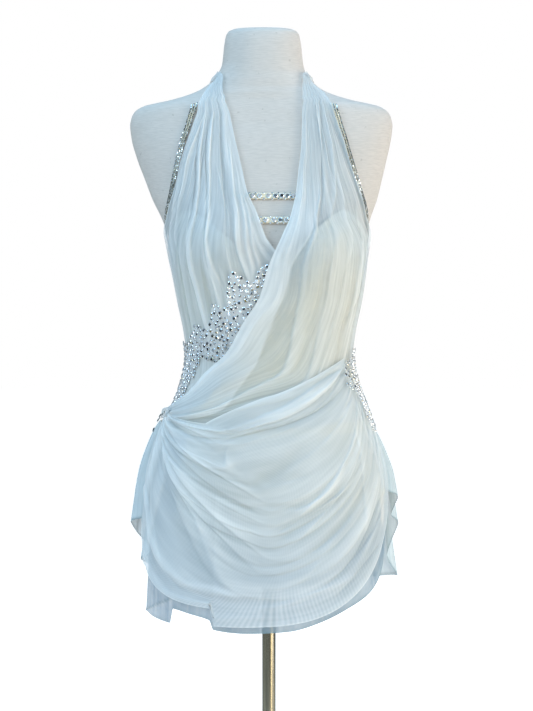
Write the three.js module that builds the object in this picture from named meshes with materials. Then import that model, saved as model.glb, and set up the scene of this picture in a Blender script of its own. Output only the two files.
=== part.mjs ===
import * as THREE from "three";

// Lyrical dance dress on a dress form. Millimetres, +Z up, front faces -Y.
// Angles run round the body in degrees: 0 front, 90 the right as seen from the front, 180 back.

// ---- driving sizes ----
const baseRadius = 210;
const basePlate = 6;
const poleRadius = 10;
const poleTop = 770;
const formBottom = 719;
const formTop = 1504;
const bodyRoundness = 2.35;
const clothWall = 1.1;
const flareStart = 850;
const skirtSeam = 936;

// Dress form sections: half width, depth to the front, depth to the back, sideways lean.
const formSections = [
  { at: 719, half: 146, front: 84, back: 92, lean: 0 },
  { at: 728, half: 158, front: 96, back: 104, lean: 0 },
  { at: 760, half: 164, front: 103, back: 113, lean: 0 },
  { at: 815, half: 168, front: 107, back: 122, lean: 0 },
  { at: 859, half: 165, front: 107, back: 122, lean: 0 },
  { at: 902, half: 156, front: 104, back: 116, lean: 0 },
  { at: 960, half: 136, front: 97, back: 100, lean: 0 },
  { at: 1004, half: 120, front: 92, back: 88, lean: 0 },
  { at: 1040, half: 114, front: 89, back: 82, lean: 0 },
  { at: 1076, half: 118, front: 91, back: 83, lean: 0 },
  { at: 1120, half: 127, front: 97, back: 87, lean: 0 },
  { at: 1175, half: 136, front: 104, back: 92, lean: -1 },
  { at: 1207, half: 141, front: 106, back: 95, lean: -2 },
  { at: 1236, half: 149, front: 104, back: 97, lean: -4 },
  { at: 1265, half: 161, front: 99, back: 98, lean: -6 },
  { at: 1294, half: 171, front: 92, back: 97, lean: -8 },
  { at: 1322, half: 180, front: 85, back: 94, lean: -10 },
  { at: 1351, half: 187, front: 77, back: 89, lean: -11 },
  { at: 1370, half: 189, front: 71, back: 85, lean: -11 },
  { at: 1382, half: 186, front: 68, back: 82, lean: -11 },
  { at: 1390, half: 178, front: 66, back: 80, lean: -11 },
  { at: 1397, half: 163, front: 64, back: 78, lean: -11 },
  { at: 1405, half: 138, front: 62, back: 76, lean: -11 },
  { at: 1413, half: 113, front: 61, back: 73, lean: -11 },
  { at: 1421, half: 91, front: 59, back: 70, lean: -11 },
  { at: 1431, half: 75, front: 58, back: 66, lean: -10 },
  { at: 1443, half: 65, front: 56, back: 61, lean: -10 },
  { at: 1456, half: 60, front: 55, back: 58, lean: -9 },
  { at: 1485, half: 56, front: 52, back: 54, lean: -9 },
  { at: 1497, half: 53, front: 49, back: 51, lean: -9 },
  { at: 1502, half: 49, front: 45, back: 47, lean: -9 },
  { at: 1504, half: 44, front: 40, back: 42, lean: -9 },
];
const bust = { side: 72, height: 1203, out: 22, wide: 50, above: 54, below: 48 };

// ---- helpers ----
const rad = (degrees) => (degrees * Math.PI) / 180;
const mix = (a, b, t) => a + (b - a) * t;
const clamp = (x, low, high) => Math.min(high, Math.max(low, x));
const bump = (x, centre, width) => Math.exp(-(((x - centre) / width) ** 2));

function step(x, from, to) {
  const t = clamp((x - from) / (to - from), 0, 1);
  return t * t * (3 - 2 * t);
}

function range(count) {
  return Array.from({ length: count + 1 }, (_, i) => i / count);
}

// Smooth curve through one column of a table, without overshoot between the rows.
function track(rows, x, column) {
  const last = rows.length - 1;
  const at = clamp(x, rows[0].at, rows[last].at);
  let i = 0;
  while (i < last - 1 && at > rows[i + 1].at) i += 1;
  const slope = (k) => (rows[k + 1][column] - rows[k][column]) / (rows[k + 1].at - rows[k].at);
  const tangent = (k) => {
    if (k === 0) return slope(0);
    if (k === last) return slope(last - 1);
    const a = slope(k - 1);
    const b = slope(k);
    return a * b <= 0 ? 0 : (2 * a * b) / (a + b);
  };
  const h = rows[i + 1].at - rows[i].at;
  const t = (at - rows[i].at) / h;
  const rise = rows[i + 1][column] - rows[i][column];
  const a = tangent(i) * h - rise;
  const b = rise - tangent(i + 1) * h;
  return rows[i][column] + rise * t + t * (1 - t) * (a * (1 - t) + b * t);
}

// Rounded box section of the body at one height.
function section(angle, half, front, back) {
  const power = 2 / bodyRoundness;
  const s = Math.sin(angle);
  const c = Math.cos(angle);
  return {
    x: Math.sign(s) * Math.abs(s) ** power * half,
    y: -Math.sign(c) * Math.abs(c) ** power * (c > 0 ? front : back),
    facing: Math.max(c, 0),
  };
}

function formPoint(angle, z) {
  const half = track(formSections, z, "half");
  const p = section(angle, half, track(formSections, z, "front"), track(formSections, z, "back"));
  const tall = z > bust.height ? bust.above : bust.below;
  const pair = bump(p.x, bust.side, bust.wide) + bump(p.x, -bust.side, bust.wide);
  const out = bust.out * pair * bump(z, bust.height, tall) * Math.sqrt(p.facing);
  return new THREE.Vector3(p.x + track(formSections, z, "lean"), p.y - out, z);
}

// The hips carried straight down and slightly outwards, for everything that hangs.
function skirtPoint(angle, z) {
  const top = Math.max(z, flareStart);
  const drop = Math.max(flareStart - z, 0);
  const p = section(
    angle,
    track(formSections, top, "half") + drop * 0.05,
    track(formSections, top, "front") + drop * 0.09,
    track(formSections, top, "back") + drop * 0.1,
  );
  return new THREE.Vector3(p.x, p.y, z);
}

// A point of the body moved out along its normal by the lift.
function place(body, degrees, z, lift) {
  const a = rad(degrees);
  const turn = body(a + 0.002, z).sub(body(a - 0.002, z));
  const climb = body(a, z + 0.4).sub(body(a, z - 0.4));
  const normal = turn.cross(climb).normalize();
  return body(a, z).addScaledVector(normal, lift);
}

function meshFrom(name, points, faces, material) {
  const geometry = new THREE.BufferGeometry();
  const flat = points.flatMap((p) => [p.x, p.y, p.z]);
  geometry.setAttribute("position", new THREE.Float32BufferAttribute(flat, 3));
  geometry.setIndex(faces.flat());
  geometry.computeVertexNormals();
  const mesh = new THREE.Mesh(geometry, material);
  mesh.name = name;
  return mesh;
}

// Closed sheet of cloth: a grid of places, its inner face, and the cut edges between them.
// spot(u, v) gives { angle, z, lift } and sometimes a wall of its own; u runs right and v runs down.
function sheet(name, { body, us, vs, spot, wall = clothWall, ring = false }, material) {
  const columns = us.length;
  const rows = vs.length;
  const outer = [];
  const inner = [];
  for (const v of vs) {
    for (const u of us) {
      const s = spot(u, v);
      inner.push(place(body, s.angle, s.z, s.lift));
      outer.push(place(body, s.angle, s.z, s.lift + (s.wall ?? wall)));
    }
  }
  const back = outer.length;
  const id = (i, j) => j * columns + (i % columns);
  const faces = [];
  const quad = (a, b, c, d) => faces.push([a, b, c], [a, c, d]);
  const spans = ring ? columns : columns - 1;
  for (let j = 0; j < rows - 1; j += 1) {
    for (let i = 0; i < spans; i += 1) {
      const [a, b, c, d] = [id(i, j), id(i, j + 1), id(i + 1, j + 1), id(i + 1, j)];
      quad(a, b, c, d);
      quad(back + a, back + d, back + c, back + b);
    }
  }
  for (let i = 0; i < spans; i += 1) {
    const low = rows - 1;
    quad(id(i, 0), id(i + 1, 0), back + id(i + 1, 0), back + id(i, 0));
    quad(id(i + 1, low), id(i, low), back + id(i, low), back + id(i + 1, low));
  }
  for (let j = 0; j < rows - 1 && !ring; j += 1) {
    const far = columns - 1;
    quad(id(0, j + 1), id(0, j), back + id(0, j), back + id(0, j + 1));
    quad(id(far, j), id(far, j + 1), back + id(far, j + 1), back + id(far, j));
  }
  return meshFrom(name, [...outer, ...inner], faces, material);
}

// Crest height of a table of folds at one place across them.
function folds(table, x) {
  return table.reduce((sum, fold) => sum + fold.rise * bump(x, fold.at, fold.width), 0);
}

// Columns on every crest and in every trough between two crests, with no gap wider than the widest.
function foldColumns(table, widest) {
  const crests = [0, ...table.map((fold) => fold.at), 1];
  const columns = [0];
  for (let i = 1; i < crests.length; i += 1) {
    const span = crests[i] - crests[i - 1];
    const inner = i > 1 && i < crests.length - 1 ? 2 : 1;
    const count = Math.max(inner, Math.ceil(span / widest));
    for (let k = 1; k <= count; k += 1) columns.push(crests[i - 1] + (span * k) / count);
  }
  return columns;
}

// ---- materials ----
const cloth = (color) => new THREE.MeshStandardMaterial({ color, roughness: 0.85, metalness: 0 });
const linen = cloth("#dcdad6");
const cream = cloth("#e9e5da");
const mesh = cloth("#dbe6ea");
const stones = new THREE.MeshStandardMaterial({ color: "#b9bcc0", roughness: 0.3, metalness: 0.4 });
const steel = new THREE.MeshStandardMaterial({ color: "#a9a8a4", roughness: 0.3, metalness: 1 });

// ---- dress form: whole rings from the underside to the neck cap, with a socket for the pole ----
const formRows = [
  719, 728, 755, 800, 850, 895, 935, 970, 1004, 1040, 1076, 1110, 1138, 1160, 1178, 1192, 1205, 1220,
  1238, 1262, 1294, 1325, 1351, 1370, 1382, 1390, 1397, 1403, 1409, 1415, 1422, 1431, 1443, 1456, 1485,
  1497, 1502, 1504,
];
const socket = { radius: 11, deep: 55 };

function formTorso() {
  const columns = 36;
  const flatRing = (radius, z) => (a) => new THREE.Vector3(Math.sin(a) * radius, -Math.cos(a) * radius, z);
  const rings = [
    flatRing(socket.radius, formBottom + socket.deep),
    flatRing(socket.radius, formBottom),
    ...formRows.map((z) => (a) => formPoint(a, z)),
  ];
  const points = [];
  for (const ring of rings) {
    for (let i = 0; i < columns; i += 1) points.push(ring(rad((360 * i) / columns)));
  }
  const roof = points.push(new THREE.Vector3(0, 0, formBottom + socket.deep)) - 1;
  const crown = points.push(new THREE.Vector3(-9, 0, formTop)) - 1;
  const id = (i, j) => j * columns + (i % columns);
  const top = rings.length - 1;
  const faces = [];
  for (let i = 0; i < columns; i += 1) {
    for (let j = 0; j < top; j += 1) {
      const [a, b, c, d] = [id(i, j), id(i + 1, j), id(i + 1, j + 1), id(i, j + 1)];
      faces.push([a, b, d], [b, c, d]);
    }
    faces.push([roof, id(i + 1, 0), id(i, 0)], [crown, id(i, top), id(i + 1, top)]);
  }
  return meshFrom("form_torso", points, faces, linen);
}

// ---- stand: a pole between the base socket and the form socket ----
function lathe(name, profile, segments) {
  const geometry = new THREE.LatheGeometry(
    profile.map(([r, z]) => new THREE.Vector2(r, z)),
    segments,
  );
  geometry.rotateX(Math.PI / 2);
  const part = new THREE.Mesh(geometry, steel);
  part.name = name;
  return part;
}

function standBase() {
  const hub = { radius: 28, high: 34, deep: 3 };
  const profile = [
    [0, 0],
    [baseRadius - 2, 0],
    [baseRadius, 2],
    [baseRadius, basePlate - 2],
    [baseRadius - 3, basePlate],
    [hub.radius + 6, basePlate],
    [hub.radius, basePlate + 5],
    [hub.radius - 3, hub.high - 3],
    [hub.radius - 6, hub.high],
    [poleRadius + 0.6, hub.high],
    [poleRadius + 0.6, hub.deep],
    [0, hub.deep],
  ];
  return lathe("stand_base", profile, 36);
}

function standPole() {
  const foot = 3.5;
  const profile = [
    [0, foot],
    [poleRadius - 1, foot],
    [poleRadius, foot + 1],
    [poleRadius, poleTop - 1],
    [poleRadius - 1, poleTop],
    [0, poleTop],
  ];
  return lathe("stand_pole", profile, 20);
}

// How much more room the layers take over the fullest part of the bust.
const overBust = (z) => bump(z, bust.height, 30);

// ---- leotard: one skin, sweetheart top, low back, high legs ----
const leotardLift = 2.3;
const leotardEdges = [
  { at: 0, top: 1158, leg: 744 },
  { at: 25, top: 1226, leg: 748 },
  { at: 40, top: 1249, leg: 778 },
  { at: 59, top: 1230, leg: 810 },
  { at: 76, top: 1204, leg: 842 },
  { at: 98, top: 1179, leg: 850 },
  { at: 128, top: 1107, leg: 800 },
  { at: 180, top: 1056, leg: 742 },
];
const leotardRows = [0, 0.04, 0.08, 0.12, 0.16, 0.21, 0.28, 0.36, 0.42, 0.48, 0.54, 0.62, 0.72, 0.82, 0.92, 1];

function leotard() {
  const columns = 36;
  const spot = (u, v) => {
    const angle = 360 * u;
    const fromFront = Math.min(angle, 360 - angle);
    const top = track(leotardEdges, fromFront, "top");
    const leg = track(leotardEdges, fromFront, "leg");
    const z = mix(top, leg, v);
    return { angle, z, lift: leotardLift + 1.6 * overBust(z) };
  };
  const us = range(columns).slice(0, columns);
  return sheet("leotard", { body: formPoint, us, vs: leotardRows, spot, wall: 1, ring: true }, cream);
}

// ---- straps: narrow bands that carry the stones ----
const chestStrapWidth = 9;

function chestStrap(name, { z, left, right, lift }) {
  const spot = (u, v) => ({ angle: mix(left, right, u), z: z + chestStrapWidth * (0.5 - v), lift });
  return sheet(name, { body: formPoint, us: range(4), vs: [0, 1], spot, wall: 1.2 }, stones);
}

// Armhole bands: from the halter's edge under the arm and down to the low back.
const armholeWidth = 7;
const armhole = [
  { at: 0, angle: 29, z: 1394 },
  { at: 0.1, angle: 27, z: 1371 },
  { at: 0.2, angle: 32, z: 1338 },
  { at: 0.32, angle: 41, z: 1298 },
  { at: 0.42, angle: 51, z: 1266 },
  { at: 0.5, angle: 63, z: 1241 },
  { at: 0.59, angle: 78, z: 1218 },
  { at: 0.68, angle: 98, z: 1194 },
  { at: 0.82, angle: 128, z: 1121 },
  { at: 1, angle: 172, z: 1068 },
];

function armholeBand(name, side) {
  const centre = (u) => {
    const t = side > 0 ? u : 1 - u;
    return { angle: side * track(armhole, t, "angle"), z: track(armhole, t, "z") };
  };
  const spot = (u, v) => {
    const here = centre(u);
    const before = centre(u - 0.01);
    const after = centre(u + 0.01);
    const point = formPoint(rad(here.angle), here.z);
    const reach = Math.hypot(point.x, point.y);
    const right = rad(after.angle - before.angle) * reach;
    const up = after.z - before.z;
    const across = (armholeWidth * (0.5 - v)) / Math.hypot(right, up);
    return {
      angle: here.angle - (up * across * 180) / (Math.PI * reach),
      z: here.z + right * across,
      lift: 1.2,
    };
  };
  return sheet(name, { body: formPoint, us: range(22), vs: [0, 1], spot, wall: 1.2 }, stones);
}

// ---- under halter panel: gathered at the neck, folds fanning down to the waist ----
const underRows = [
  { at: 0, outA: -98, outZ: 1432, inA: -82, inZ: 1452, sag: 0 },
  { at: 0.05, outA: -66, outZ: 1431, inA: -50, inZ: 1441, sag: 0 },
  { at: 0.1, outA: -47, outZ: 1418, inA: -31, inZ: 1421, sag: 0 },
  { at: 0.13, outA: -34, outZ: 1405, inA: -20, inZ: 1407, sag: 0 },
  { at: 0.17, outA: -26, outZ: 1386, inA: -12, inZ: 1384, sag: 0 },
  { at: 0.24, outA: -25, outZ: 1354, inA: -9, inZ: 1352, sag: 0 },
  { at: 0.36, outA: -35, outZ: 1311, inA: -7, inZ: 1311, sag: 0 },
  { at: 0.46, outA: -45, outZ: 1276, inA: -6, inZ: 1276, sag: 0 },
  { at: 0.56, outA: -61, outZ: 1241, inA: -3, inZ: 1244, sag: 0 },
  { at: 0.66, outA: -86, outZ: 1206, inA: 0, inZ: 1208, sag: 3 },
  { at: 0.76, outA: -102, outZ: 1150, inA: 5, inZ: 1188, sag: 12 },
  { at: 0.88, outA: -106, outZ: 1060, inA: 9, inZ: 1176, sag: 50 },
  { at: 1, outA: -106, outZ: 962, inA: 12, inZ: 1164, sag: 92 },
];
const underFolds = [
  { at: 0.08, rise: 1.8, width: 0.03 },
  { at: 0.16, rise: 1.4, width: 0.03 },
  { at: 0.25, rise: 2.2, width: 0.03 },
  { at: 0.35, rise: 2.4, width: 0.03 },
  { at: 0.5, rise: 2.8, width: 0.035 },
  { at: 0.58, rise: 2.2, width: 0.025 },
  { at: 0.66, rise: 2.6, width: 0.025 },
  { at: 0.73, rise: 2.0, width: 0.02 },
  { at: 0.8, rise: 2.6, width: 0.02 },
  { at: 0.86, rise: 2.0, width: 0.018 },
  { at: 0.92, rise: 2.4, width: 0.02 },
];
const underLift = 5.3;

function underSpot(u, v) {
  const angle = mix(track(underRows, v, "outA"), track(underRows, v, "inA"), u);
  const line = mix(track(underRows, v, "outZ"), track(underRows, v, "inZ"), u);
  const z = line - track(underRows, v, "sag") * Math.sin(Math.PI * u);
  const fade = 1 - 0.85 * step(v, 0.72, 0.86);
  return { angle, z, lift: underLift + overBust(z) + folds(underFolds, u) * fade * 0.8 };
}

function halterUnder() {
  const vs = [0, 0.05, 0.1, 0.13, 0.17, 0.24, 0.36, 0.46, 0.56, 0.61, 0.66, 0.72, 0.77, 0.81, 0.85, 0.885, 0.92, 0.96, 1];
  const us = foldColumns(underFolds, 0.07);
  return sheet("halter_under", { body: formPoint, us, vs, spot: underSpot }, mesh);
}

// ---- wrap halter panel: from the neck over the bust, its long folds drawn to the left hip ----
const wrapRows = [
  { at: 0, inA: 82, inZ: 1452, outA: 98, outZ: 1432, near: 0 },
  { at: 0.05, inA: 51, inZ: 1441, outA: 69, outZ: 1431, near: 0 },
  { at: 0.1, inA: 29, inZ: 1418, outA: 49, outZ: 1417, near: 0 },
  { at: 0.13, inA: 19, inZ: 1400, outA: 34, outZ: 1402, near: 0 },
  { at: 0.17, inA: 15, inZ: 1376, outA: 27, outZ: 1380, near: 0 },
  { at: 0.23, inA: 14, inZ: 1337, outA: 31, outZ: 1345, near: 0 },
  { at: 0.29, inA: 13, inZ: 1304, outA: 38, outZ: 1306, near: 0 },
  { at: 0.36, inA: 12, inZ: 1271, outA: 46, outZ: 1272, near: 0 },
  { at: 0.43, inA: 10, inZ: 1237, outA: 62, outZ: 1240, near: 0.3 },
  { at: 0.5, inA: 6, inZ: 1211, outA: 86, outZ: 1206, near: 0.8 },
  { at: 0.57, inA: 1, inZ: 1184, outA: 100, outZ: 1168, near: 1 },
  { at: 0.66, inA: -4, inZ: 1132, outA: 106, outZ: 1100, near: 1 },
  { at: 0.75, inA: -13, inZ: 1096, outA: 104, outZ: 1030, near: 1 },
  { at: 0.83, inA: -24, inZ: 1056, outA: 84, outZ: 982, near: 1 },
  { at: 0.89, inA: -42, inZ: 1021, outA: 38, outZ: 966, near: 1 },
  { at: 0.94, inA: -58, inZ: 987, outA: -8, outZ: 951, near: 1 },
  { at: 0.98, inA: -76, inZ: 968, outA: -48, outZ: 942, near: 1 },
  { at: 1, inA: -86, inZ: 962, outA: -72, outZ: 940, near: 1 },
];
const wrapFolds = [
  { at: 0.05, rise: 0.8, width: 0.04 },
  { at: 0.13, rise: 1.8, width: 0.03 },
  { at: 0.22, rise: 2.2, width: 0.03 },
  { at: 0.31, rise: 1.2, width: 0.03 },
  { at: 0.4, rise: 2.4, width: 0.03 },
  { at: 0.5, rise: 1.8, width: 0.03 },
  { at: 0.62, rise: 1.4, width: 0.04 },
  { at: 0.76, rise: 1.0, width: 0.04 },
  { at: 0.9, rise: 1.0, width: 0.04 },
];
const wrapLift = 5.9;
const wrapOver = 4.8;

function wrapSpot(u, v) {
  const angle = mix(track(wrapRows, v, "inA"), track(wrapRows, v, "outA"), u);
  const z = mix(track(wrapRows, v, "inZ"), track(wrapRows, v, "outZ"), u);
  const reach = mix(0.32, 1.3, step(v, 0.9, 1.02));
  const over = wrapOver * track(wrapRows, v, "near") * (1 - step(u, reach * 0.6, reach));
  const fade = 1 - 0.5 * step(v, 0.86, 1);
  return { angle, z, lift: wrapLift + overBust(z) + over + folds(wrapFolds, u) * fade * 0.8 };
}

function halterWrap() {
  const upper = [0, 0.05, 0.1, 0.13, 0.17, 0.23, 0.29, 0.36, 0.43, 0.465, 0.5, 0.57, 0.66];
  const lower = [0.71, 0.75, 0.79, 0.82, 0.845, 0.87, 0.89, 0.915, 0.94, 0.96, 0.98, 1];
  const us = foldColumns(wrapFolds, 0.07);
  return sheet("halter_wrap", { body: formPoint, us, vs: [...upper, ...lower], spot: wrapSpot }, mesh);
}

// ---- neck band: joins the two gathered ends behind the neck ----
function neckBand() {
  const seam = 1;
  const spot = (u, v) => {
    const start = mix(wrapRows[0].inA, wrapRows[0].outA, v) + seam;
    const z = mix(wrapRows[0].inZ, wrapRows[0].outZ, v) - 3 * Math.sin(Math.PI * u);
    return { angle: mix(start, 360 - start, u), z, lift: mix(wrapLift, underLift, u) };
  };
  return sheet("neck_band", { body: formPoint, us: range(16), vs: range(2), spot }, mesh);
}

// ---- front applique: net with stones on the under panel, along the edge of the wrap ----
// Its edges are places down the under panel, whose points it takes and moves out.
const appliqueEdges = [
  { at: 0.14, top: 0.86, low: 0.99 },
  { at: 0.2, top: 0.87, low: 0.985 },
  { at: 0.3, top: 0.872, low: 0.968 },
  { at: 0.41, top: 0.852, low: 0.946 },
  { at: 0.48, top: 0.85, low: 0.909 },
  { at: 0.58, top: 0.87, low: 0.928 },
  { at: 0.64, top: 0.84, low: 0.948 },
  { at: 0.72, top: 0.842, low: 0.955 },
  { at: 0.78, top: 0.778, low: 0.948 },
  { at: 0.87, top: 0.8, low: 0.922 },
  { at: 0.93, top: 0.815, low: 0.88 },
  { at: 0.97, top: 0.828, low: 0.842 },
];

function appliqueFront() {
  const [from, to] = [appliqueEdges[0].at, appliqueEdges.at(-1).at];
  const us = foldColumns(underFolds, 0.07).filter((u) => u > from && u < to);
  const spot = (u, v) => {
    const down = mix(track(appliqueEdges, u, "top"), track(appliqueEdges, u, "low"), v);
    const panel = underSpot(u, down);
    return { ...panel, lift: panel.lift + clothWall + 1.2 };
  };
  const piece = { body: formPoint, us: [from, ...us, to], vs: range(4), spot };
  return sheet("applique_front", piece, stones);
}

// ---- side applique: net with stones down the right side of the waist ----
const sideRows = [
  { at: 0, left: 76, right: 84, z: 1052 },
  { at: 0.2, left: 62, right: 92, z: 1024 },
  { at: 0.36, left: 57, right: 96, z: 1006 },
  { at: 0.52, left: 63, right: 97, z: 988 },
  { at: 0.7, left: 67, right: 94, z: 966 },
  { at: 0.86, left: 74, right: 92, z: 946 },
  { at: 1, left: 79, right: 88, z: 928 },
];
const sideLift = { overDrape: 13, overWrap: 8.8 };

function appliqueSide() {
  const spot = (u, v) => {
    const angle = mix(track(sideRows, v, "left"), track(sideRows, v, "right"), u);
    const lift = mix(sideLift.overDrape, sideLift.overWrap, step(angle, 63, 76));
    return { angle, z: track(sideRows, v, "z"), lift };
  };
  return sheet("applique_side", { body: formPoint, us: range(6), vs: range(8), spot }, stones);
}

// ---- over skirt: one square of mesh drawn up at both hips, so that it hangs in nested U folds ----
const swagRows = [
  { at: 0, leftA: -86, leftZ: 961, lowA: -34, lowZ: 951, rightA: 60, rightZ: 1050, boxL: 1.6, boxR: 1.1 },
  { at: 0.12, leftA: -85, leftZ: 957, lowA: -16, lowZ: 940, rightA: 60, rightZ: 1036, boxL: 1.4, boxR: 1.25 },
  { at: 0.24, leftA: -84, leftZ: 953, lowA: -24, lowZ: 919, rightA: 61, rightZ: 1018, boxL: 1.3, boxR: 1.2 },
  { at: 0.42, leftA: -83, leftZ: 949, lowA: -1, lowZ: 849, rightA: 62, rightZ: 1000, boxL: 1.1, boxR: 1.2 },
  { at: 0.68, leftA: -84, leftZ: 945, lowA: 0, lowZ: 763, rightA: 63, rightZ: 978, boxL: 1.1, boxR: 1.35 },
  { at: 0.84, leftA: -86, leftZ: 941, lowA: -3, lowZ: 714, rightA: 66, rightZ: 958, boxL: 1.8, boxR: 1.6 },
  { at: 1, leftA: -90, leftZ: 936, lowA: -5, lowZ: 671, rightA: 75, rightZ: 936, boxL: 3, boxR: 1.9 },
];
const swagFolds = [
  { at: 0.02, rise: 1.6, width: 0.02 },
  { at: 0.12, rise: 3.4, width: 0.03 },
  { at: 0.24, rise: 3.2, width: 0.035 },
  { at: 0.42, rise: 4.2, width: 0.045 },
  { at: 0.58, rise: 1.6, width: 0.03 },
  { at: 0.7, rise: 4.6, width: 0.05 },
  { at: 0.86, rise: 2.6, width: 0.04 },
];
const swagLow = 0.52;
const swagLift = { left: 13.6, middle: 10, right: 9.2 };
const hemStep = { angle: -22, up: 24 };

function swagSpot(u, v) {
  const value = (column) => track(swagRows, v, column);
  const left = u < swagLow;
  const turn = (Math.PI / 2) * (left ? u / swagLow : (1 - u) / (1 - swagLow));
  const power = 2 / (left ? value("boxL") : value("boxR"));
  const endA = left ? value("leftA") : value("rightA");
  const endZ = left ? value("leftZ") : value("rightZ");
  const angle = mix(value("lowA"), endA, Math.cos(turn) ** power);
  const raise = hemStep.up * step(v, 0.86, 1) * step(hemStep.angle - angle, 0, 2) * step(u, 0.1, 0.3);
  const z = mix(endZ, value("lowZ"), Math.sin(turn) ** power) + raise;
  const fromLeft = mix(swagLift.left, swagLift.middle, step(angle, -66, -34));
  const base = mix(fromLeft, swagLift.right, step(angle, 20, 60));
  const away = Math.sin(turn);
  const lift = base + folds(swagFolds, v) * mix(0.35, 1, away) + 2.5 * away * step(v, 0.5, 1);
  return { angle, z, lift };
}

function skirtOver() {
  const vs = [0, 0.04, 0.08, 0.12, 0.18, 0.24, 0.33, 0.42, 0.5, 0.58, 0.64, 0.7, 0.78, 0.86, 0.93, 1];
  return sheet("skirt_over", { body: skirtPoint, us: range(30), vs, spot: swagSpot }, mesh);
}

// ---- under skirt: front layer below the drape, its hem a little lower ----
const underHem = [
  { at: -74, hem: 676 },
  { at: -60, hem: 671 },
  { at: -48, hem: 669 },
  { at: -46, hem: 690 },
  { at: -34, hem: 686 },
  { at: -24, hem: 680 },
  { at: -22, hem: 667 },
  { at: -8, hem: 663 },
  { at: 6, hem: 666 },
  { at: 20, hem: 677 },
  { at: 35, hem: 693 },
  { at: 47, hem: 708 },
  { at: 56, hem: 728 },
  { at: 62, hem: 752 },
  { at: 66, hem: 786 },
];
const underColumns = [
  { at: 0, angle: -74 },
  { at: 0.5, angle: -8 },
  { at: 1, angle: 66 },
];

function skirtUnder() {
  const spot = (u, v) => {
    const angle = track(underColumns, u, "angle");
    const z = mix(skirtSeam, track(underHem, angle, "hem"), v);
    const wave = 1.2 * Math.sin(rad(angle * 9)) * v;
    const swing = 4 * step(angle, 40, 60) * step(v, 0.84, 1);
    return { angle, z, lift: 4.4 + 2.8 * step(v, 0, 0.5) + wave + swing };
  };
  const us = range(26);
  return sheet("skirt_under", { body: skirtPoint, us, vs: [0, 0.2, 0.4, 0.6, 0.76, 0.9, 1], spot }, mesh);
}

// ---- back skirt: flared, cascading in tiers at both side edges; a row per crest and trough ----
const backFolds = [
  { at: 67, hem: 852, top: 4.4, lift: 7 },
  { at: 77, hem: 850, top: 4.4, lift: 6.4 },
  { at: 88, hem: 846, top: 4.4, lift: 9 },
  { at: 94, hem: 836, top: 5, lift: 23 },
  { at: 100, hem: 802, top: 4, lift: 10 },
  { at: 106, hem: 780, top: 5, lift: 31 },
  { at: 112, hem: 732, top: 4, lift: 12 },
  { at: 118, hem: 690, top: 5, lift: 47 },
  { at: 127, hem: 690, top: 4, lift: 14 },
  { at: 135, hem: 688, top: 5, lift: 22 },
  { at: 144, hem: 692, top: 4, lift: 11 },
  { at: 153, hem: 690, top: 5, lift: 19 },
  { at: 162, hem: 690, top: 4, lift: 10 },
  { at: 171, hem: 688, top: 5, lift: 18 },
  { at: 180, hem: 688, top: 4, lift: 10 },
  { at: 190, hem: 688, top: 5, lift: 19 },
  { at: 199, hem: 690, top: 4, lift: 10 },
  { at: 208, hem: 690, top: 5, lift: 18 },
  { at: 217, hem: 692, top: 4, lift: 11 },
  { at: 226, hem: 694, top: 5, lift: 22 },
  { at: 234, hem: 700, top: 4, lift: 12 },
  { at: 243, hem: 716, top: 6, lift: 45 },
  { at: 249, hem: 738, top: 6, lift: 14 },
  { at: 255, hem: 768, top: 12, lift: 34 },
  { at: 260, hem: 786, top: 18, lift: 39 },
  { at: 265, hem: 796, top: 14, lift: 21 },
  { at: 270, hem: 800, top: 8, lift: 10 },
  { at: 278, hem: 792, top: 5, lift: 8 },
  { at: 285, hem: 784, top: 4.4, lift: 7.2 },
];

function skirtBack() {
  const first = backFolds[0].at;
  const last = backFolds[backFolds.length - 1].at;
  const columns = [];
  backFolds.forEach((fold, i) => {
    if (i > 0) columns.push((backFolds[i - 1].at + fold.at) / 2);
    columns.push(fold.at);
  });
  const spot = (u, v) => {
    const angle = mix(first, last, u);
    const z = mix(skirtSeam, track(backFolds, angle, "hem"), v);
    const out = track(backFolds, angle, "lift");
    return { angle, z, lift: mix(track(backFolds, angle, "top"), out, v ** 0.7) };
  };
  const us = columns.map((angle) => (angle - first) / (last - first));
  return sheet("skirt_back", { body: skirtPoint, us, vs: range(6), spot }, mesh);
}

// ---- hip knot: the gathered lump where the wrap and the over skirt are drawn together ----
const knot = { left: -102, right: -68, z: 957, high: 34, lift: 17.6, swell: 7, ridges: 5 };

function hipKnot() {
  const spot = (u, v) => {
    const round = Math.sqrt(Math.max(1 - (2 * u - 1) ** 2, 0.12));
    const arch = Math.sin(Math.PI * u) * Math.sin(Math.PI * v);
    const crimp = 0.6 + 0.4 * Math.cos(2 * Math.PI * knot.ridges * v);
    return {
      angle: mix(knot.left, knot.right, u),
      z: knot.z + knot.high * round * (0.5 - v),
      lift: knot.lift,
      wall: clothWall + knot.swell * Math.sqrt(arch) * crimp,
    };
  };
  const piece = { body: formPoint, us: range(6), vs: range(knot.ridges * 2), spot };
  return sheet("hip_knot", piece, mesh);
}

// ---- whole ----
const group = new THREE.Group();
group.name = "dance_dress_on_form";
group.add(
  formTorso(),
  standPole(),
  standBase(),
  leotard(),
  chestStrap("strap_chest_upper", { z: 1268, left: -10, right: 17, lift: 0.7 }),
  chestStrap("strap_chest_lower", { z: 1235, left: -7, right: 15, lift: 1.3 }),
  armholeBand("strap_armhole_right", 1),
  armholeBand("strap_armhole_left", -1),
  halterUnder(),
  halterWrap(),
  neckBand(),
  appliqueFront(),
  appliqueSide(),
  skirtUnder(),
  skirtOver(),
  skirtBack(),
  hipKnot(),
);

export default group;
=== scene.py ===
import math

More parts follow.
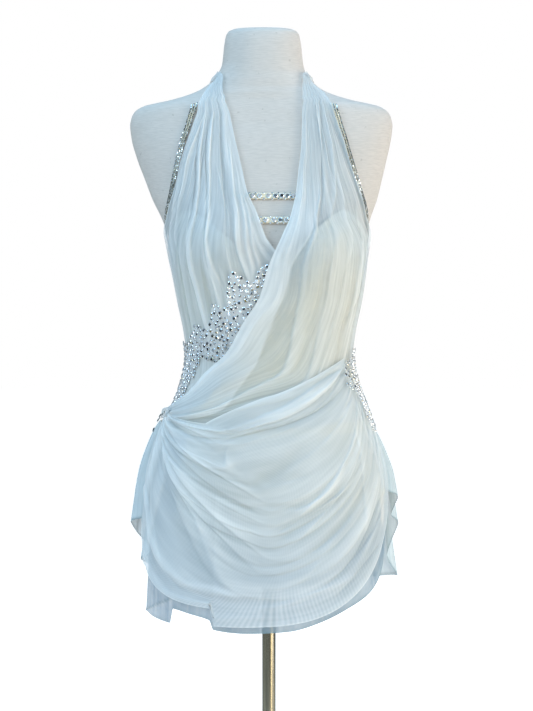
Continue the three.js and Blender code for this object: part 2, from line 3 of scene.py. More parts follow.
import bpy
import numpy as np
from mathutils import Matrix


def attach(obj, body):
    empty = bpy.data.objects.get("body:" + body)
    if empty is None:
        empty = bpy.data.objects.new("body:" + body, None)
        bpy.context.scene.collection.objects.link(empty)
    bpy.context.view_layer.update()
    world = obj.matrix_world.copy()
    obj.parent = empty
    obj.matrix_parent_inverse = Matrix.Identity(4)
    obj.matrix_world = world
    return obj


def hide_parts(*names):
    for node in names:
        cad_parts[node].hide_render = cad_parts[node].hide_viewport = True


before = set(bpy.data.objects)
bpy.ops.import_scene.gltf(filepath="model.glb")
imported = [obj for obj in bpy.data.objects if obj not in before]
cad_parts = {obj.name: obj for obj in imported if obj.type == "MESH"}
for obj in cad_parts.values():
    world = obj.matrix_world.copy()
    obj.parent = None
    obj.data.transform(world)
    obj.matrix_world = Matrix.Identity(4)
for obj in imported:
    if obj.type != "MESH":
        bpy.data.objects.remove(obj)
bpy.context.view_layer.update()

print("frame:", len(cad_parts), "nodes")

# Tables and shapes are in millimetres and degrees; they become metres when a mesh is made.
# Angles run round the body: 0 front, 90 the right as seen from the front, 180 back.

# camera
cameraPlace = {"target": (-0.0036, 0.0, 1.040), "distance": 2.2, "elevation": 5.0, "lens": 76.8}


def addCamera():
    # stands in front at the given distance, raised by the elevation, and looks at the target
    tilt = math.radians(cameraPlace["elevation"])
    x, y, z = cameraPlace["target"]
    data = bpy.data.cameras.new("viewCamera")
    data.lens = cameraPlace["lens"]
    data.sensor_width = 36
    camera = bpy.data.objects.new("viewCamera", data)
    reach = cameraPlace["distance"]
    camera.location = (x, y - reach * math.cos(tilt), z + reach * math.sin(tilt))
    camera.rotation_euler = (math.pi / 2 - tilt, 0, 0)
    bpy.context.collection.objects.link(camera)
    bpy.context.scene.camera = camera


addCamera()

# helpers on whole arrays


def alongTable(table, column, x):
    # smooth curve through a column: a cubic between rows, each row's slope the harmonic mean of its chords
    at = np.asarray(table["at"], float)
    y = np.asarray(table[column], float)
    chord = np.diff(y) / np.diff(at)
    slope = np.concatenate([chord[:1], np.zeros(len(y) - 2), chord[-1:]])
    product, total = chord[:-1] * chord[1:], chord[:-1] + chord[1:]
    rising = product > 0
    slope[1:-1] = np.where(rising, 2 * product / np.where(rising, total, 1), 0)
    x = np.clip(x, at[0], at[-1])
    i = np.clip(np.searchsorted(at, x, side="right") - 1, 0, len(at) - 2)
    h = at[i + 1] - at[i]
    t = (x - at[i]) / h
    rise = y[i + 1] - y[i]
    a = slope[i] * h - rise
    b = rise - slope[i + 1] * h
    return y[i] + rise * t + t * (1 - t) * (a * (1 - t) + b * t)


def bell(x, centre, width):
    # 1 at the centre, falling off like a bell over the width
    return np.exp(-(((x - centre) / width) ** 2))


def softStep(x, low, high):
    # 0 below low, 1 above high, an S curve between
    t = np.clip((x - low) / (high - low), 0, 1)
    return t * t * (3 - 2 * t)


def mix(a, b, t):
    # a at 0, b at 1, a straight line between
    return a + (b - a) * t


def between(table, first, last, at, t):
    # from one column's curve to another's, both taken at the same places
    return mix(alongTable(table, first, at), alongTable(table, last, at), t)


def gridOf(columns, rows):
    # u runs right over the columns, v runs down over the rows
    return np.meshgrid(np.linspace(0, 1, columns + 1), np.linspace(0, 1, rows + 1))


def creases(across, along, table):
    # Each crease is a bell across the cloth, centred on a parabola through its first, middle and last place,
    # and faded in and out at its ends unless it runs off the edge of the cloth. A lean from -1 to 1 makes
    # the bell steep on one side and soft on the other, as a pleat that lies over to that side.
    field = np.zeros(np.broadcast(across, along).shape)
    for start, end, first, middle, last, rise, width, lean in table:
        t = np.clip((along - start) / (end - start), 0, 1)
        path = first * (1 - t) * (1 - 2 * t) + 4 * middle * t * (1 - t) + last * t * (2 * t - 1)
        ease = 0.3 * (end - start)
        fadeIn = 1 if start <= 0 else softStep(along, start - ease / 3, start + ease)
        fadeOut = 1 if end >= 1 else 1 - softStep(along, end - ease, end + ease / 3)
        side = width * np.where(across > path, 1 + 0.8 * lean, 1 - 0.8 * lean)
        field = field + rise * bell(across, path, side) * fadeIn * fadeOut
    return field


def looseCreases(across, along, seed, count, rise, width, spread=0.06):
    # many small creases at seeded random places, each a narrow bell that drifts a little across the cloth
    draw = np.random.default_rng(seed)
    start = draw.uniform(-0.3, 0.8, count)
    first = draw.uniform(0, 1, count)
    table = zip(
        start,
        start + draw.uniform(0.2, 0.6, count),
        first,
        first + draw.uniform(-spread, spread, count) / 2,
        first + draw.uniform(-spread, spread, count),
        draw.uniform(-1, 1, count) * rise,
        draw.uniform(0.5, 1.3, count) * width,
        draw.choice([-0.9, 0, 0.9], count),
    )
    return creases(across, along, table)


# the body the dress hangs on
bodySections = {
    "at": [719, 728, 760, 815, 859, 902, 960, 1004, 1040, 1076, 1120, 1175, 1207, 1236, 1265, 1294, 1322,
           1351, 1370, 1382, 1390, 1397, 1405, 1413, 1421, 1431, 1443, 1456, 1485, 1497, 1502, 1504],
    "half": [146, 158, 164, 168, 165, 156, 136, 120, 114, 118, 127, 136, 141, 149, 161, 170, 178.5,
             185.5, 187.5, 185, 180, 168, 132, 104, 86, 73, 63, 58, 54.5, 52, 48.5, 44],
    "front": [84, 96, 103, 107, 107, 104, 97, 92, 89, 91, 97, 104, 106, 104, 99, 92, 85,
              77, 71, 68, 66, 64, 62, 61, 59, 58, 56, 55, 52, 49, 45, 40],
    "back": [92, 104, 113, 122, 122, 116, 100, 88, 82, 83, 87, 92, 95, 97, 98, 97, 94,
             89, 85, 82, 80, 78, 76, 73, 70, 66, 61, 58, 54, 51, 47, 42],
    "lean": [0, 0, 0, 0, 0, 0, 0, 0, 0, 0, 0, -1, -2, -4, -6, -8, -10,
             -11, -11, -11, -11, -11, -11, -11, -11, -10, -10, -9, -9, -9, -9, -9],
}
body = {"roundness": 2.35, "bustSide": 72, "bustHeight": 1203, "bustOut": 22, "bustWide": 50,
        "bustAbove": 54, "bustBelow": 48, "flareStart": 850, "bottom": 719, "top": 1504}


def roundedSection(degrees, half, front, back):
    # super-ellipse: sine and cosine raised to 2 / roundness, with one depth in front and one behind
    s, c = np.sin(np.radians(degrees)), np.cos(np.radians(degrees))
    power = 2 / body["roundness"]
    x = np.sign(s) * np.abs(s) ** power * half
    y = -np.sign(c) * np.abs(c) ** power * np.where(c > 0, front, back)
    return x, y, np.maximum(c, 0)


def formSurface(degrees, z):
    # body section at the height z, with the two bell-shaped halves of the bust pushed forward
    column = [alongTable(bodySections, name, z) for name in ("half", "front", "back")]
    x, y, facing = roundedSection(degrees, *column)
    tall = np.where(z > body["bustHeight"], body["bustAbove"], body["bustBelow"])
    pair = bell(x, body["bustSide"], body["bustWide"]) + bell(x, -body["bustSide"], body["bustWide"])
    out = body["bustOut"] * pair * bell(z, body["bustHeight"], tall) * np.sqrt(facing)
    return np.stack(np.broadcast_arrays(x + alongTable(bodySections, "lean", z), y - out, z), -1)


def skirtSurface(degrees, z):
    # the hips' section carried straight down and slightly outwards
    top = np.maximum(z, body["flareStart"])
    drop = np.maximum(body["flareStart"] - z, 0)
    slopes = {"half": 0.05, "front": 0.09, "back": 0.1}
    column = [alongTable(bodySections, name, top) + drop * slope for name, slope in slopes.items()]
    x, y = roundedSection(degrees, *column)[:2]
    return np.stack(np.broadcast_arrays(x, y, z), -1)


def outward(surface, degrees, z):
    # unit normal: cross product of a small turn and a small climb
    turn = surface(degrees + 0.1, z) - surface(degrees - 0.1, z)
    climb = surface(degrees, z + 0.4) - surface(degrees, z - 0.4)
    normal = np.cross(turn, climb)
    return normal / np.linalg.norm(normal, axis=-1, keepdims=True)


def lifted(surface, degrees, z, lift):
    # point of the surface moved out along its normal
    degrees, z, lift = np.broadcast_arrays(degrees, z, lift)
    return surface(degrees, z) + outward(surface, degrees, z) * lift[..., None]


def overBust(z):
    # extra room that the layers take over the fullest part of the bust
    return bell(z, body["bustHeight"], 30)


# meshes


def meshObject(name, points, faces, material):
    # a smooth mesh of one material from points in millimetres, fixed to the frame's root
    mesh = bpy.data.meshes.new(name)
    mesh.from_pydata((points / 1000).tolist(), [], faces)
    mesh.polygons.foreach_set("use_smooth", np.ones(len(mesh.polygons), bool))
    mesh.materials.append(material)
    mesh.update()
    piece = bpy.data.objects.new(name, mesh)
    bpy.context.collection.objects.link(piece)
    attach(piece, "root")
    return piece


def makeSheet(name, points, size, material, ring=False, values=None):
    # A grid of points becomes quads facing out; its UV map is u and v times the size in metres. A ring joins
    # its last column to its first. Each field of values becomes an attribute of the points.
    rows, columns = points.shape[:2]
    spans = columns if ring else columns - 1
    i, j = np.meshgrid(np.arange(spans), np.arange(rows - 1))
    right = (i + 1) % columns
    high, low = j * columns, (j + 1) * columns
    faces = np.stack([high + i, low + i, low + right, high + right], -1)
    piece = meshObject(name, points.reshape(-1, 3), faces.reshape(-1, 4).tolist(), material)
    u = np.stack([i, i, i + 1, i + 1], -1) / spans * size[0]
    v = 1 - np.stack([j, j + 1, j + 1, j], -1) / (rows - 1)
    layer = piece.data.uv_layers.new(name="clothMap")
    layer.data.foreach_set("uv", np.stack([u, v * size[1]], -1).astype(np.float32).ravel())
    for label, field in (values or {}).items():
        attribute = piece.data.attributes.new(label, "FLOAT", "POINT")
        field = np.broadcast_to(field, (rows, columns))
        attribute.data.foreach_set("value", field.astype(np.float32).ravel())
    return piece


def makeLathe(name, profile, segments, material):
    # a profile of radius and height turned round the upright axis, closed on the axis at both ends
    turn = np.linspace(0, 2 * math.pi, segments, endpoint=False)
    radius, z = (np.array(side, float)[:, None] for side in zip(*profile))
    points = np.stack(np.broadcast_arrays(radius * np.sin(turn), -radius * np.cos(turn), z), -1)
    return makeRings(name, points, material)


def makeRings(name, points, material):
    # rings of points joined by quads, with a point in the middle of the first and last ring
    rings, columns = points.shape[:2]
    flat = points.reshape(-1, 3)
    ends = np.array([points[0].mean(0), points[-1].mean(0)])
    i, start = np.meshgrid(np.arange(columns), np.arange(rings - 1) * columns)
    right = (i + 1) % columns
    quads = np.stack([start + i, start + right, start + columns + right, start + columns + i], -1)
    k = np.arange(columns)
    after = (k + 1) % columns
    low = np.stack([np.full(columns, len(flat)), after, k], -1)
    last = (rings - 1) * columns
    high = np.stack([np.full(columns, len(flat) + 1), last + k, last + after], -1)
    faces = quads.reshape(-1, 4).tolist() + low.tolist() + high.tolist()
    return meshObject(name, np.vstack([flat, ends]), faces, material)


# node groups


def linearColour(text):
    # web colour turned into Blender's linear values
    part = [int(text[k:k + 2], 16) / 255 for k in (1, 3, 5)]
    return [((c + 0.055) / 1.055) ** 2.4 if c > 0.04045 else c / 12.92 for c in part] + [1.0]


def newGroup(name, inputs, outputs):
    # a node group from the names and kinds of its sockets, with a default for each input that has one
    group = bpy.data.node_groups.new(name, "ShaderNodeTree")
    for label, kind, value in inputs:
        socket = group.interface.new_socket(label, in_out="INPUT", socket_type=kind)
        if value is not None:
            socket.default_value = value
    for label, kind in outputs:
        group.interface.new_socket(label, in_out="OUTPUT", socket_type=kind)
    start = group.nodes.new("NodeGroupInput")
    end = group.nodes.new("NodeGroupOutput")
    return group, start, end


def addMath(tree, operation, a, b):
    # a maths node; a and b are sockets or numbers
    node = tree.nodes.new("ShaderNodeMath")
    node.operation = operation
    for slot, value in enumerate([a, b]):
        if isinstance(value, (int, float)):
            node.inputs[slot].default_value = value
        else:
            tree.links.new(value, node.inputs[slot])
    return node.outputs[0]


def newMaterial(name):
    # a material, its node tree and its main shader
    material = bpy.data.materials.new(name)
    material.use_nodes = True
    tree = material.node_tree
    return material, tree, tree.nodes["Principled BSDF"]


def addNode(tree, kind, **inputs):
    # a node of this kind with inputs set by name
    node = tree.nodes.new(kind)
    for label, value in inputs.items():
        node.inputs[label].default_value = value
    return node


def addAttribute(tree, name):
    # a field that the mesh carries
    node = tree.nodes.new("ShaderNodeAttribute")
    node.attribute_name = name
    return node


def addScaled(tree, place, scale):
    # coordinates multiplied by one scale for each axis
    node = tree.nodes.new("ShaderNodeMapping")
    node.inputs["Scale"].default_value = scale
    tree.links.new(place, node.inputs["Vector"])
    return node.outputs["Vector"]


def addNoise(tree, place, scale, detail):
    # cloudy noise; each step of detail adds a layer twice as fine
    node = addNode(tree, "ShaderNodeTexNoise", Scale=scale, Detail=detail)
    tree.links.new(place, node.inputs["Vector"])
    return node.outputs["Fac"]


def addMix(tree, factor, a, b):
    # a colour mix; factor is a socket, a and b are sockets or colours
    node = tree.nodes.new("ShaderNodeMix")
    node.data_type = "RGBA"
    tree.links.new(factor, node.inputs["Factor"])
    for slot, value in ((6, a), (7, b)):
        if isinstance(value, (list, tuple)):
            node.inputs[slot].default_value = value
        else:
            tree.links.new(value, node.inputs[slot])
    return node.outputs[2]


def addRange(tree, value, low, high, toLow, toHigh):
    # low to high becomes toLow to toHigh in a straight line, clamped at both ends
    node = tree.nodes.new("ShaderNodeMapRange")
    for slot, number in enumerate([low, high, toLow, toHigh], 1):
        node.inputs[slot].default_value = number
    tree.links.new(value, node.inputs[0])
    return node.outputs[0]


def addBump(tree, height, distance, strength):
    # normal tilted by the slope of a height, which stands for this distance in metres
    node = addNode(tree, "ShaderNodeBump", Strength=strength, Distance=distance)
    tree.links.new(height, node.inputs["Height"])
    return node.outputs["Normal"]


def knitWeaveGroup():
    # fine knit: two crossed rows of bands on the cloth's own map, multiplied, and a slow unevenness
    group, start, end = newGroup(
        "knitWeave",
        [("Vector", "NodeSocketVector", None), ("Threads", "NodeSocketFloat", 900.0)],
        [("Thread", "NodeSocketFloat"), ("Uneven", "NodeSocketFloat")],
    )
    bands = []
    for direction in ("X", "Y"):
        wave = addNode(group, "ShaderNodeTexWave", Distortion=0.6)
        wave.inputs["Detail Scale"].default_value = 0.3
        wave.bands_direction = direction
        group.links.new(start.outputs["Vector"], wave.inputs["Vector"])
        group.links.new(start.outputs["Threads"], wave.inputs["Scale"])
        bands.append(wave.outputs["Fac"])
    group.links.new(addMath(group, "MULTIPLY", *bands), end.inputs["Thread"])
    group.links.new(addNoise(group, start.outputs["Vector"], 34, 3), end.inputs["Uneven"])
    return group


knitWeave = knitWeaveGroup()

# materials


def linenMaterial():
    # off-white linen cover: level thread streaks and slubs from one stretched noise, and a few small flecks
    material, tree, shader = newMaterial("formLinen")
    place = tree.nodes.new("ShaderNodeTexCoord").outputs["Object"]
    slub = addNoise(tree, addScaled(tree, place, (90, 90, 900)), 1.0, 3.0)
    fleck = addNoise(tree, place, 130.0, 2.0)
    stain = addNoise(tree, place, 6.0, 4.0)
    ground = addMix(tree, stain, linearColour("#c9c3ba"), linearColour("#d5cec7"))
    threads = addMix(tree, addRange(tree, slub, 0.35, 0.65, 0.3, 0), ground, linearColour("#a9a49c"))
    spots = addRange(tree, fleck, 0.7, 0.76, 0.0, 0.35)
    tree.links.new(addMix(tree, spots, threads, linearColour("#8d867b")), shader.inputs["Base Color"])
    tree.links.new(addRange(tree, slub, 0, 1, 0.72, 0.9), shader.inputs["Roughness"])
    tree.links.new(addBump(tree, slub, 0.0003, 0.4), shader.inputs["Normal"])
    shader.inputs["Specular IOR Level"].default_value = 0.3
    return material


def clothMaterial(name, look):
    # Cloth on its own map. One attribute says how many layers lie together, more of them hiding more and
    # taking the crest tone;
    # it also carries painted light and shade, lighter on crests and outer pleats and darker in hollows.
    # "edge" darkens hems, "moire" shows the bands of two meshes seen through each other.
    material, tree, shader = newMaterial(name)
    place = tree.nodes.new("ShaderNodeTexCoord").outputs["UV"]
    weave = tree.nodes.new("ShaderNodeGroup")
    weave.node_tree = knitWeave
    weave.inputs["Threads"].default_value = look["threads"]
    tree.links.new(place, weave.inputs["Vector"])
    streak = addNoise(tree, addScaled(tree, place, look["flow"]), 1.0, 2.0)
    drift = addRange(tree, streak, 0.3, 0.7, -look["streak"], look["streak"])
    layers = addMath(tree, "ADD", addAttribute(tree, "layersAndShade").outputs["Fac"], drift)
    ground = addMix(tree, layers, linearColour(look["hollow"]), linearColour(look["crest"]))
    uneven = addRange(tree, weave.outputs["Uneven"], 0.3, 0.7, 0.0, look["uneven"])
    colour = addMix(tree, uneven, ground, linearColour(look["shade"]))
    colour = addMix(tree, addAttribute(tree, "edge").outputs["Fac"], colour, linearColour(look["edge"]))
    if look["moire"]:
        wave = addNode(tree, "ShaderNodeTexWave", Scale=look["moire"], Distortion=5.0, Detail=2.0)
        wave.inputs["Detail Scale"].default_value = 0.12
        wave.bands_direction = "X"
        tree.links.new(place, wave.inputs["Vector"])
        bands = addMath(tree, "MULTIPLY", wave.outputs["Fac"], addAttribute(tree, "moire").outputs["Fac"])
        colour = addMix(tree, addMath(tree, "MULTIPLY", bands, 0.5), colour, linearColour("#ffffff"))
    tree.links.new(colour, shader.inputs["Base Color"])
    if look["sheer"]:
        alpha = addRange(tree, layers, 0, 1, *look["sheer"])
        holes = addRange(tree, weave.outputs["Thread"], 0, 1, 0.94, 1.0)
        tree.links.new(addMath(tree, "MULTIPLY", alpha, holes), shader.inputs["Alpha"])
    tree.links.new(addRange(tree, weave.outputs["Thread"], 0, 1, 0.8, 0.65), shader.inputs["Roughness"])
    tree.links.new(addBump(tree, weave.outputs["Thread"], 0.0002, 0.35), shader.inputs["Normal"])
    shader.inputs["Sheen Weight"].default_value = look["sheen"]
    shader.inputs["Sheen Roughness"].default_value = 0.4
    shader.inputs["Specular IOR Level"].default_value = 0.25
    return material


def steelMaterial():
    # brushed steel: streaks drawn along the height
    material, tree, shader = newMaterial("standSteel")
    place = tree.nodes.new("ShaderNodeTexCoord").outputs["Object"]
    streak = addNoise(tree, addScaled(tree, place, (240, 240, 6)), 1.0, 4.0)
    colour = addMix(tree, streak, linearColour("#524f4a"), linearColour("#c0b69a"))
    tree.links.new(colour, shader.inputs["Base Color"])
    tree.links.new(addRange(tree, streak, 0, 1, 0.16, 0.34), shader.inputs["Roughness"])
    shader.inputs["Metallic"].default_value = 1
    return material


def crystalMaterial():
    # foil-backed glass stones: each facet has its own tone, a painted reflection or glint, in a facet
    # attribute
    material, tree, shader = newMaterial("rhinestone")
    tree.links.new(addAttribute(tree, "facetReflection").outputs["Color"], shader.inputs["Base Color"])
    shader.inputs["Metallic"].default_value = 0.75
    shader.inputs["Roughness"].default_value = 0.12
    shader.inputs["Coat Weight"].default_value = 0.6
    shader.inputs["Coat Roughness"].default_value = 0.03
    return material


# tones of each cloth: the hollow and crest tones also give painted shade in fold hollows and painted light on
# crests
meshLook = {
    "threads": 900, "hollow": "#b9c8ce", "crest": "#f1f4f2", "shade": "#dbe2e3", "uneven": 0.3,
    "sheer": (0.42, 0.84), "sheen": 0.15, "moire": 0, "flow": (240, 9, 1), "streak": 0.14, "edge": "#6f8d95",
}
skirtLook = {**meshLook, "sheer": (0.5, 0.84), "moire": 95, "flow": (14, 90, 1), "streak": 0.1}
# a darker copy of the mesh look: painted shade for the inside of the back skirt and the band behind the neck
shadedInnerLook = {**meshLook, "hollow": "#a9c2cb", "crest": "#deebee", "sheer": (0.62, 0.88)}
underLook = {**meshLook, "hollow": "#dfe5e3", "crest": "#8399a7", "sheer": (0.35, 0.94)}
creamLook = {**meshLook, "threads": 700, "hollow": "#efe3c8", "crest": "#d9dfdf", "shade": "#e9d8b0",
             "sheer": None, "sheen": 0.1}
netLook = {**meshLook, "hollow": "#f4f6f4", "crest": "#ffffff", "sheer": (0.06, 0.6)}
linen = linenMaterial()
steel = steelMaterial()
crystal = crystalMaterial()
panelMesh = clothMaterial("panelMesh", meshLook)
skirtMesh = clothMaterial("skirtMesh", skirtLook)
shadedInnerMesh = clothMaterial("shadedInnerMesh", shadedInnerLook)
underMesh = clothMaterial("underMesh", underLook)
creamStretch = clothMaterial("creamStretch", creamLook)
stoneNet = clothMaterial("stoneNet", netLook)
print("materials ready")

# dress form
formMesh = {"columns": 144, "rows": 260, "socketRadius": 11, "socketDeep": 55}


def makeForm():
    # rings from the socket's roof, down its wall, out across the underside and up to the neck's cap
    degrees = np.linspace(0, 360, formMesh["columns"], endpoint=False)
    even = mix(body["bottom"], body["top"], np.linspace(0, 1, formMesh["rows"]))
    z = np.unique(np.concatenate([even, bodySections["at"]]))
    skin = formSurface(degrees[None], z[:, None])
    turn = np.radians(degrees)
    hole = np.stack([np.sin(turn), -np.cos(turn), np.zeros_like(turn)], -1) * formMesh["socketRadius"]
    low = hole + [0, 0, body["bottom"]]
    roof = low + [0, 0, formMesh["socketDeep"]]
    underside = [mix(low, skin[0], t) for t in (0.25, 0.5, 0.75, 0.92)]
    middle = skin[-1].mean(0)
    cap = [mix(skin[-1], middle, t) for t in (0.12, 0.4, 0.7)]
    form = makeRings("form_cover", np.stack([roof, low, *underside, *skin, *cap]), linen)
    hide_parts("form_torso")


makeForm()

# stand
stand = {"poleRadius": 10, "poleFoot": 3.5, "poleTop": 770, "baseRadius": 210, "plate": 6, "hubRadius": 28,
         "hubHigh": 34, "socketDeep": 3, "gap": 0.6, "flatRings": (60, 120), "poleSides": 64,
         "baseSides": 128}


def makeStand():
    # the pole and the base are profiles of radius and height, from the middle of the bottom outwards and up
    r, low, top = stand["poleRadius"], stand["poleFoot"], stand["poleTop"]
    profile = [(0.5, low), (r - 1, low), (r - 0.3, low + 0.3), (r, low + 1), (r, top / 2), (r, top - 1),
               (r - 0.3, top - 0.3), (r - 1, top), (0.5, top)]
    pole = makeLathe("stand_tube", profile, stand["poleSides"], steel)
    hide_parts("stand_pole")
    wide, plate, hub, high = stand["baseRadius"], stand["plate"], stand["hubRadius"], stand["hubHigh"]
    hole = r + stand["gap"]
    edge = np.radians(np.linspace(-80, 80, 9))
    rim = [(wide - 3 + 3 * math.cos(a), plate / 2 + (plate / 2) * math.sin(a)) for a in edge]
    hump = [(hub + 8, plate), (hub + 4, plate + 1), (hub + 1, plate + 4), (hub, plate + 8),
            (hub - 2, high - 5), (hub - 4, high - 2), (hub - 7, high)]
    socket = [(hole + 1, high), (hole, high - 1), (hole, stand["socketDeep"]), (0.5, stand["socketDeep"])]
    below, above = stand["flatRings"]
    profile = [(0.5, 0), (below, 0), (wide - 3, 0), *rim, (wide - 3, plate), (above, plate), *hump, *socket]
    base = makeLathe("stand_disc", profile, stand["baseSides"], steel)
    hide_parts("stand_base")


makeStand()
print("form and stand ready")

# leotard
leotard = {
    "at": [0, 25, 40, 59, 76, 98, 128, 180],
    "top": [1158, 1226, 1249, 1230, 1204, 1179, 1107, 1056],
    "leg": [744, 748, 778, 810, 842, 850, 800, 742],
    "lift": 2.8, "overBust": 1.6, "edgeHigh": 0.5,
    "map": (0.86, 0.42),
}


def makeLeotard():
    # one skin round the body between its top edge and its leg line, with the two edges turned over
    u, v = gridOf(216, 90)
    u, v = u[:, :-1], v[:, :-1]
    degrees = 360 * u
    side = np.minimum(degrees, 360 - degrees)
    z = between(leotard, "top", "leg", side, v)
    hem = bell(v, 0.0, 0.012) + bell(v, 1.0, 0.012)
    lift = leotard["lift"] + leotard["overBust"] * overBust(z) + leotard["edgeHigh"] * hem
    layersAndShade = 0.95 * (1 - softStep(v, 0.02, 0.22))  # paler towards the bust
    skin = makeSheet("leotard_skin", lifted(formSurface, degrees, z, lift), leotard["map"], creamStretch,
                     ring=True, values={"layersAndShade": layersAndShade})
    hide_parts("leotard")


makeLeotard()

# under halter panel
# The edges round the body and their heights at places down the panel; sag drops the middle of the low edge.
underPanel = {
    "at": [0, 0.05, 0.07, 0.09, 0.11, 0.13, 0.16, 0.2, 0.24, 0.36, 0.46, 0.56, 0.66, 0.76, 0.88, 1],
    "outA": [-98, -58, -57, -48, -35, -26.5, -24.7, -26, -28, -36.5, -45, -61, -86, -102, -106, -106],
    "outZ": [1430, 1430, 1425, 1416.5, 1406, 1396.5, 1383.5, 1369, 1354, 1311, 1276, 1241, 1206, 1150, 1060,
             962],
    "inA": [-82, -48, -34, -25, -16.5, -12, -10.2, -9.4, -8.7, -7, -6, -3, 0, 5, 9, 12],
    "inZ": [1446, 1437, 1421.5, 1411.5, 1402.5, 1391.5, 1379, 1365, 1352, 1311, 1276, 1244, 1208, 1188, 1176,
            1164],
    "sag": [0, 0, 0, 0, 0, 0, 0, 0, 0, 0, 0, 0, 3, 12, 50, 92],
    "lift": 5.6, "least": 4.2,
    "gathers": 9,
    "map": (0.19, 0.6),
}
# first and last place down the panel, three places across it, height in mm, width across, lean
underCreases = [
    (0.08, 0.74, 0.34, 0.13, 0.44, 2.0, 0.022, 0.9),
    (0.40, 0.74, 0.02, 0.13, 0.34, 1.6, 0.02, 0.9),
    (0.22, 0.54, 0.30, 0.27, 0.26, 1.1, 0.014, 0),
    (0.10, 0.95, 0.26, 0.45, 0.61, 2.8, 0.028, -0.9),
    (0.50, 0.97, 0.33, 0.50, 0.58, 2.4, 0.022, 0.9),
    (0.60, 0.95, 0.37, 0.42, 0.42, 1.6, 0.018, 0),
    (0.02, 0.93, 0.52, 0.57, 0.79, 2.8, 0.036, -0.9),
    (0.50, 0.93, 0.56, 0.65, 0.69, 2.2, 0.02, 0.9),
    (0.72, 0.93, 0.70, 0.74, 0.76, 1.4, 0.014, 0),
    (0.04, 0.46, 0.92, 0.81, 0.86, 1.4, 0.06, 0),
    (0.26, 0.68, 0.90, 0.86, 0.85, 1.6, 0.018, -0.9),
    (0.52, 0.90, 0.82, 0.83, 0.87, 2.0, 0.012, 0.9),
    (0.40, 0.90, 0.93, 0.89, 0.87, 1.6, 0.011, 0),
    (0.46, 0.90, 0.95, 0.92, 0.90, 1.6, 0.01, 0),
    (0.58, 0.84, 0.94, 0.95, 0.94, 1.2, 0.01, 0),
    (0.52, 0.86, 0.75, 0.77, 0.78, 1.2, 0.02, 0.9),
    (0.34, 0.64, 0.63, 0.74, 0.79, 1.2, 0.01, -0.9),
    (0.05, 0.84, 0.70, 0.74, 0.80, -2.4, 0.028, 0.9),
    (0.16, 0.90, 0.36, 0.56, 0.72, -2.2, 0.022, 0.9),
    (0.20, 0.92, 0.22, 0.40, 0.57, -1.8, 0.02, 0.9),
    (0.58, 0.92, 0.59, 0.61, 0.64, -1.4, 0.016, 0),
    (0.60, 0.92, 0.30, 0.38, 0.38, -1.6, 0.016, 0.9),
    (0.06, 0.50, 0.44, 0.42, 0.40, -1.2, 0.008, 0.9),
]
appliqueEdges = {
    "at": [0.14, 0.2, 0.3, 0.41, 0.48, 0.58, 0.64, 0.72, 0.78, 0.87, 0.93, 0.97],
    "top": [0.87, 0.875, 0.876, 0.862, 0.853, 0.876, 0.838, 0.862, 0.776, 0.842, 0.796, 0.812],
    "low": [0.99, 0.985, 0.968, 0.927, 0.905, 0.925, 0.948, 0.955, 0.948, 0.915, 0.87, 0.835],
}


def neckTaper(beside, v):
    # near the neck the outer edge of a panel lies down on the form, and so does its end
    side = mix(1, mix(0.3, 1, softStep(beside, 0, 0.3)), 1 - softStep(v, 0.05, 0.12))
    return side * mix(0.4, 1, softStep(v, 0, 0.05))


def neckGather(u, v, count):
    # even small pleats where a panel is drawn up at the neck
    return 0.2 * np.cos(2 * math.pi * count * u) * (1 - softStep(v, 0.08, 0.2))


def underShape(u, v):
    # degrees, height, lift and crease height at places across and down the under panel
    degrees = between(underPanel, "outA", "inA", v, u)
    z = between(underPanel, "outZ", "inZ", v, u)
    z = z - alongTable(underPanel, "sag", v) * np.sin(math.pi * u)
    covered = softStep(v, alongTable(appliqueEdges, "top", u) - 0.03, alongTable(appliqueEdges, "low", u))
    fold = creases(u, v, underCreases) + looseCreases(u, v, 11, 70, 0.5, 0.012)
    gather = neckGather(u, v, underPanel["gathers"])
    fold = (fold * mix(0.3, 1, softStep(v, 0.06, 0.2)) + gather) * (1 - 0.9 * covered)
    lift = np.maximum(underPanel["lift"] + fold, underPanel["least"]) + overBust(z)
    return degrees, z, lift * neckTaper(u, v), fold


def makeUnderPanel():
    # denser at its hems, under the applique and at the neck; on its folds lighter on the crests and darker in
    # the hollows, partly doubled cloth and partly painted shade
    u, v = gridOf(260, 300)
    degrees, z, lift, fold = underShape(u, v)
    hem = bell(u, 1.0, 0.012) + bell(u, 0.0, 0.012)
    top = alongTable(appliqueEdges, "top", u)
    covered = softStep(v, top - 0.02, top + 0.02)
    # the fold term paints light on the crests and shade in the hollows
    layersAndShade = 0.45 + 0.2 * fold + 0.4 * hem + 0.3 * covered + 0.3 * (1 - softStep(v, 0, 0.06))
    points = lifted(formSurface, degrees, z, lift)
    panel = makeSheet("halter_under_mesh", points, underPanel["map"], panelMesh,
                      values={"layersAndShade": np.clip(layersAndShade, 0, 1)})
    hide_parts("halter_under")


makeUnderPanel()

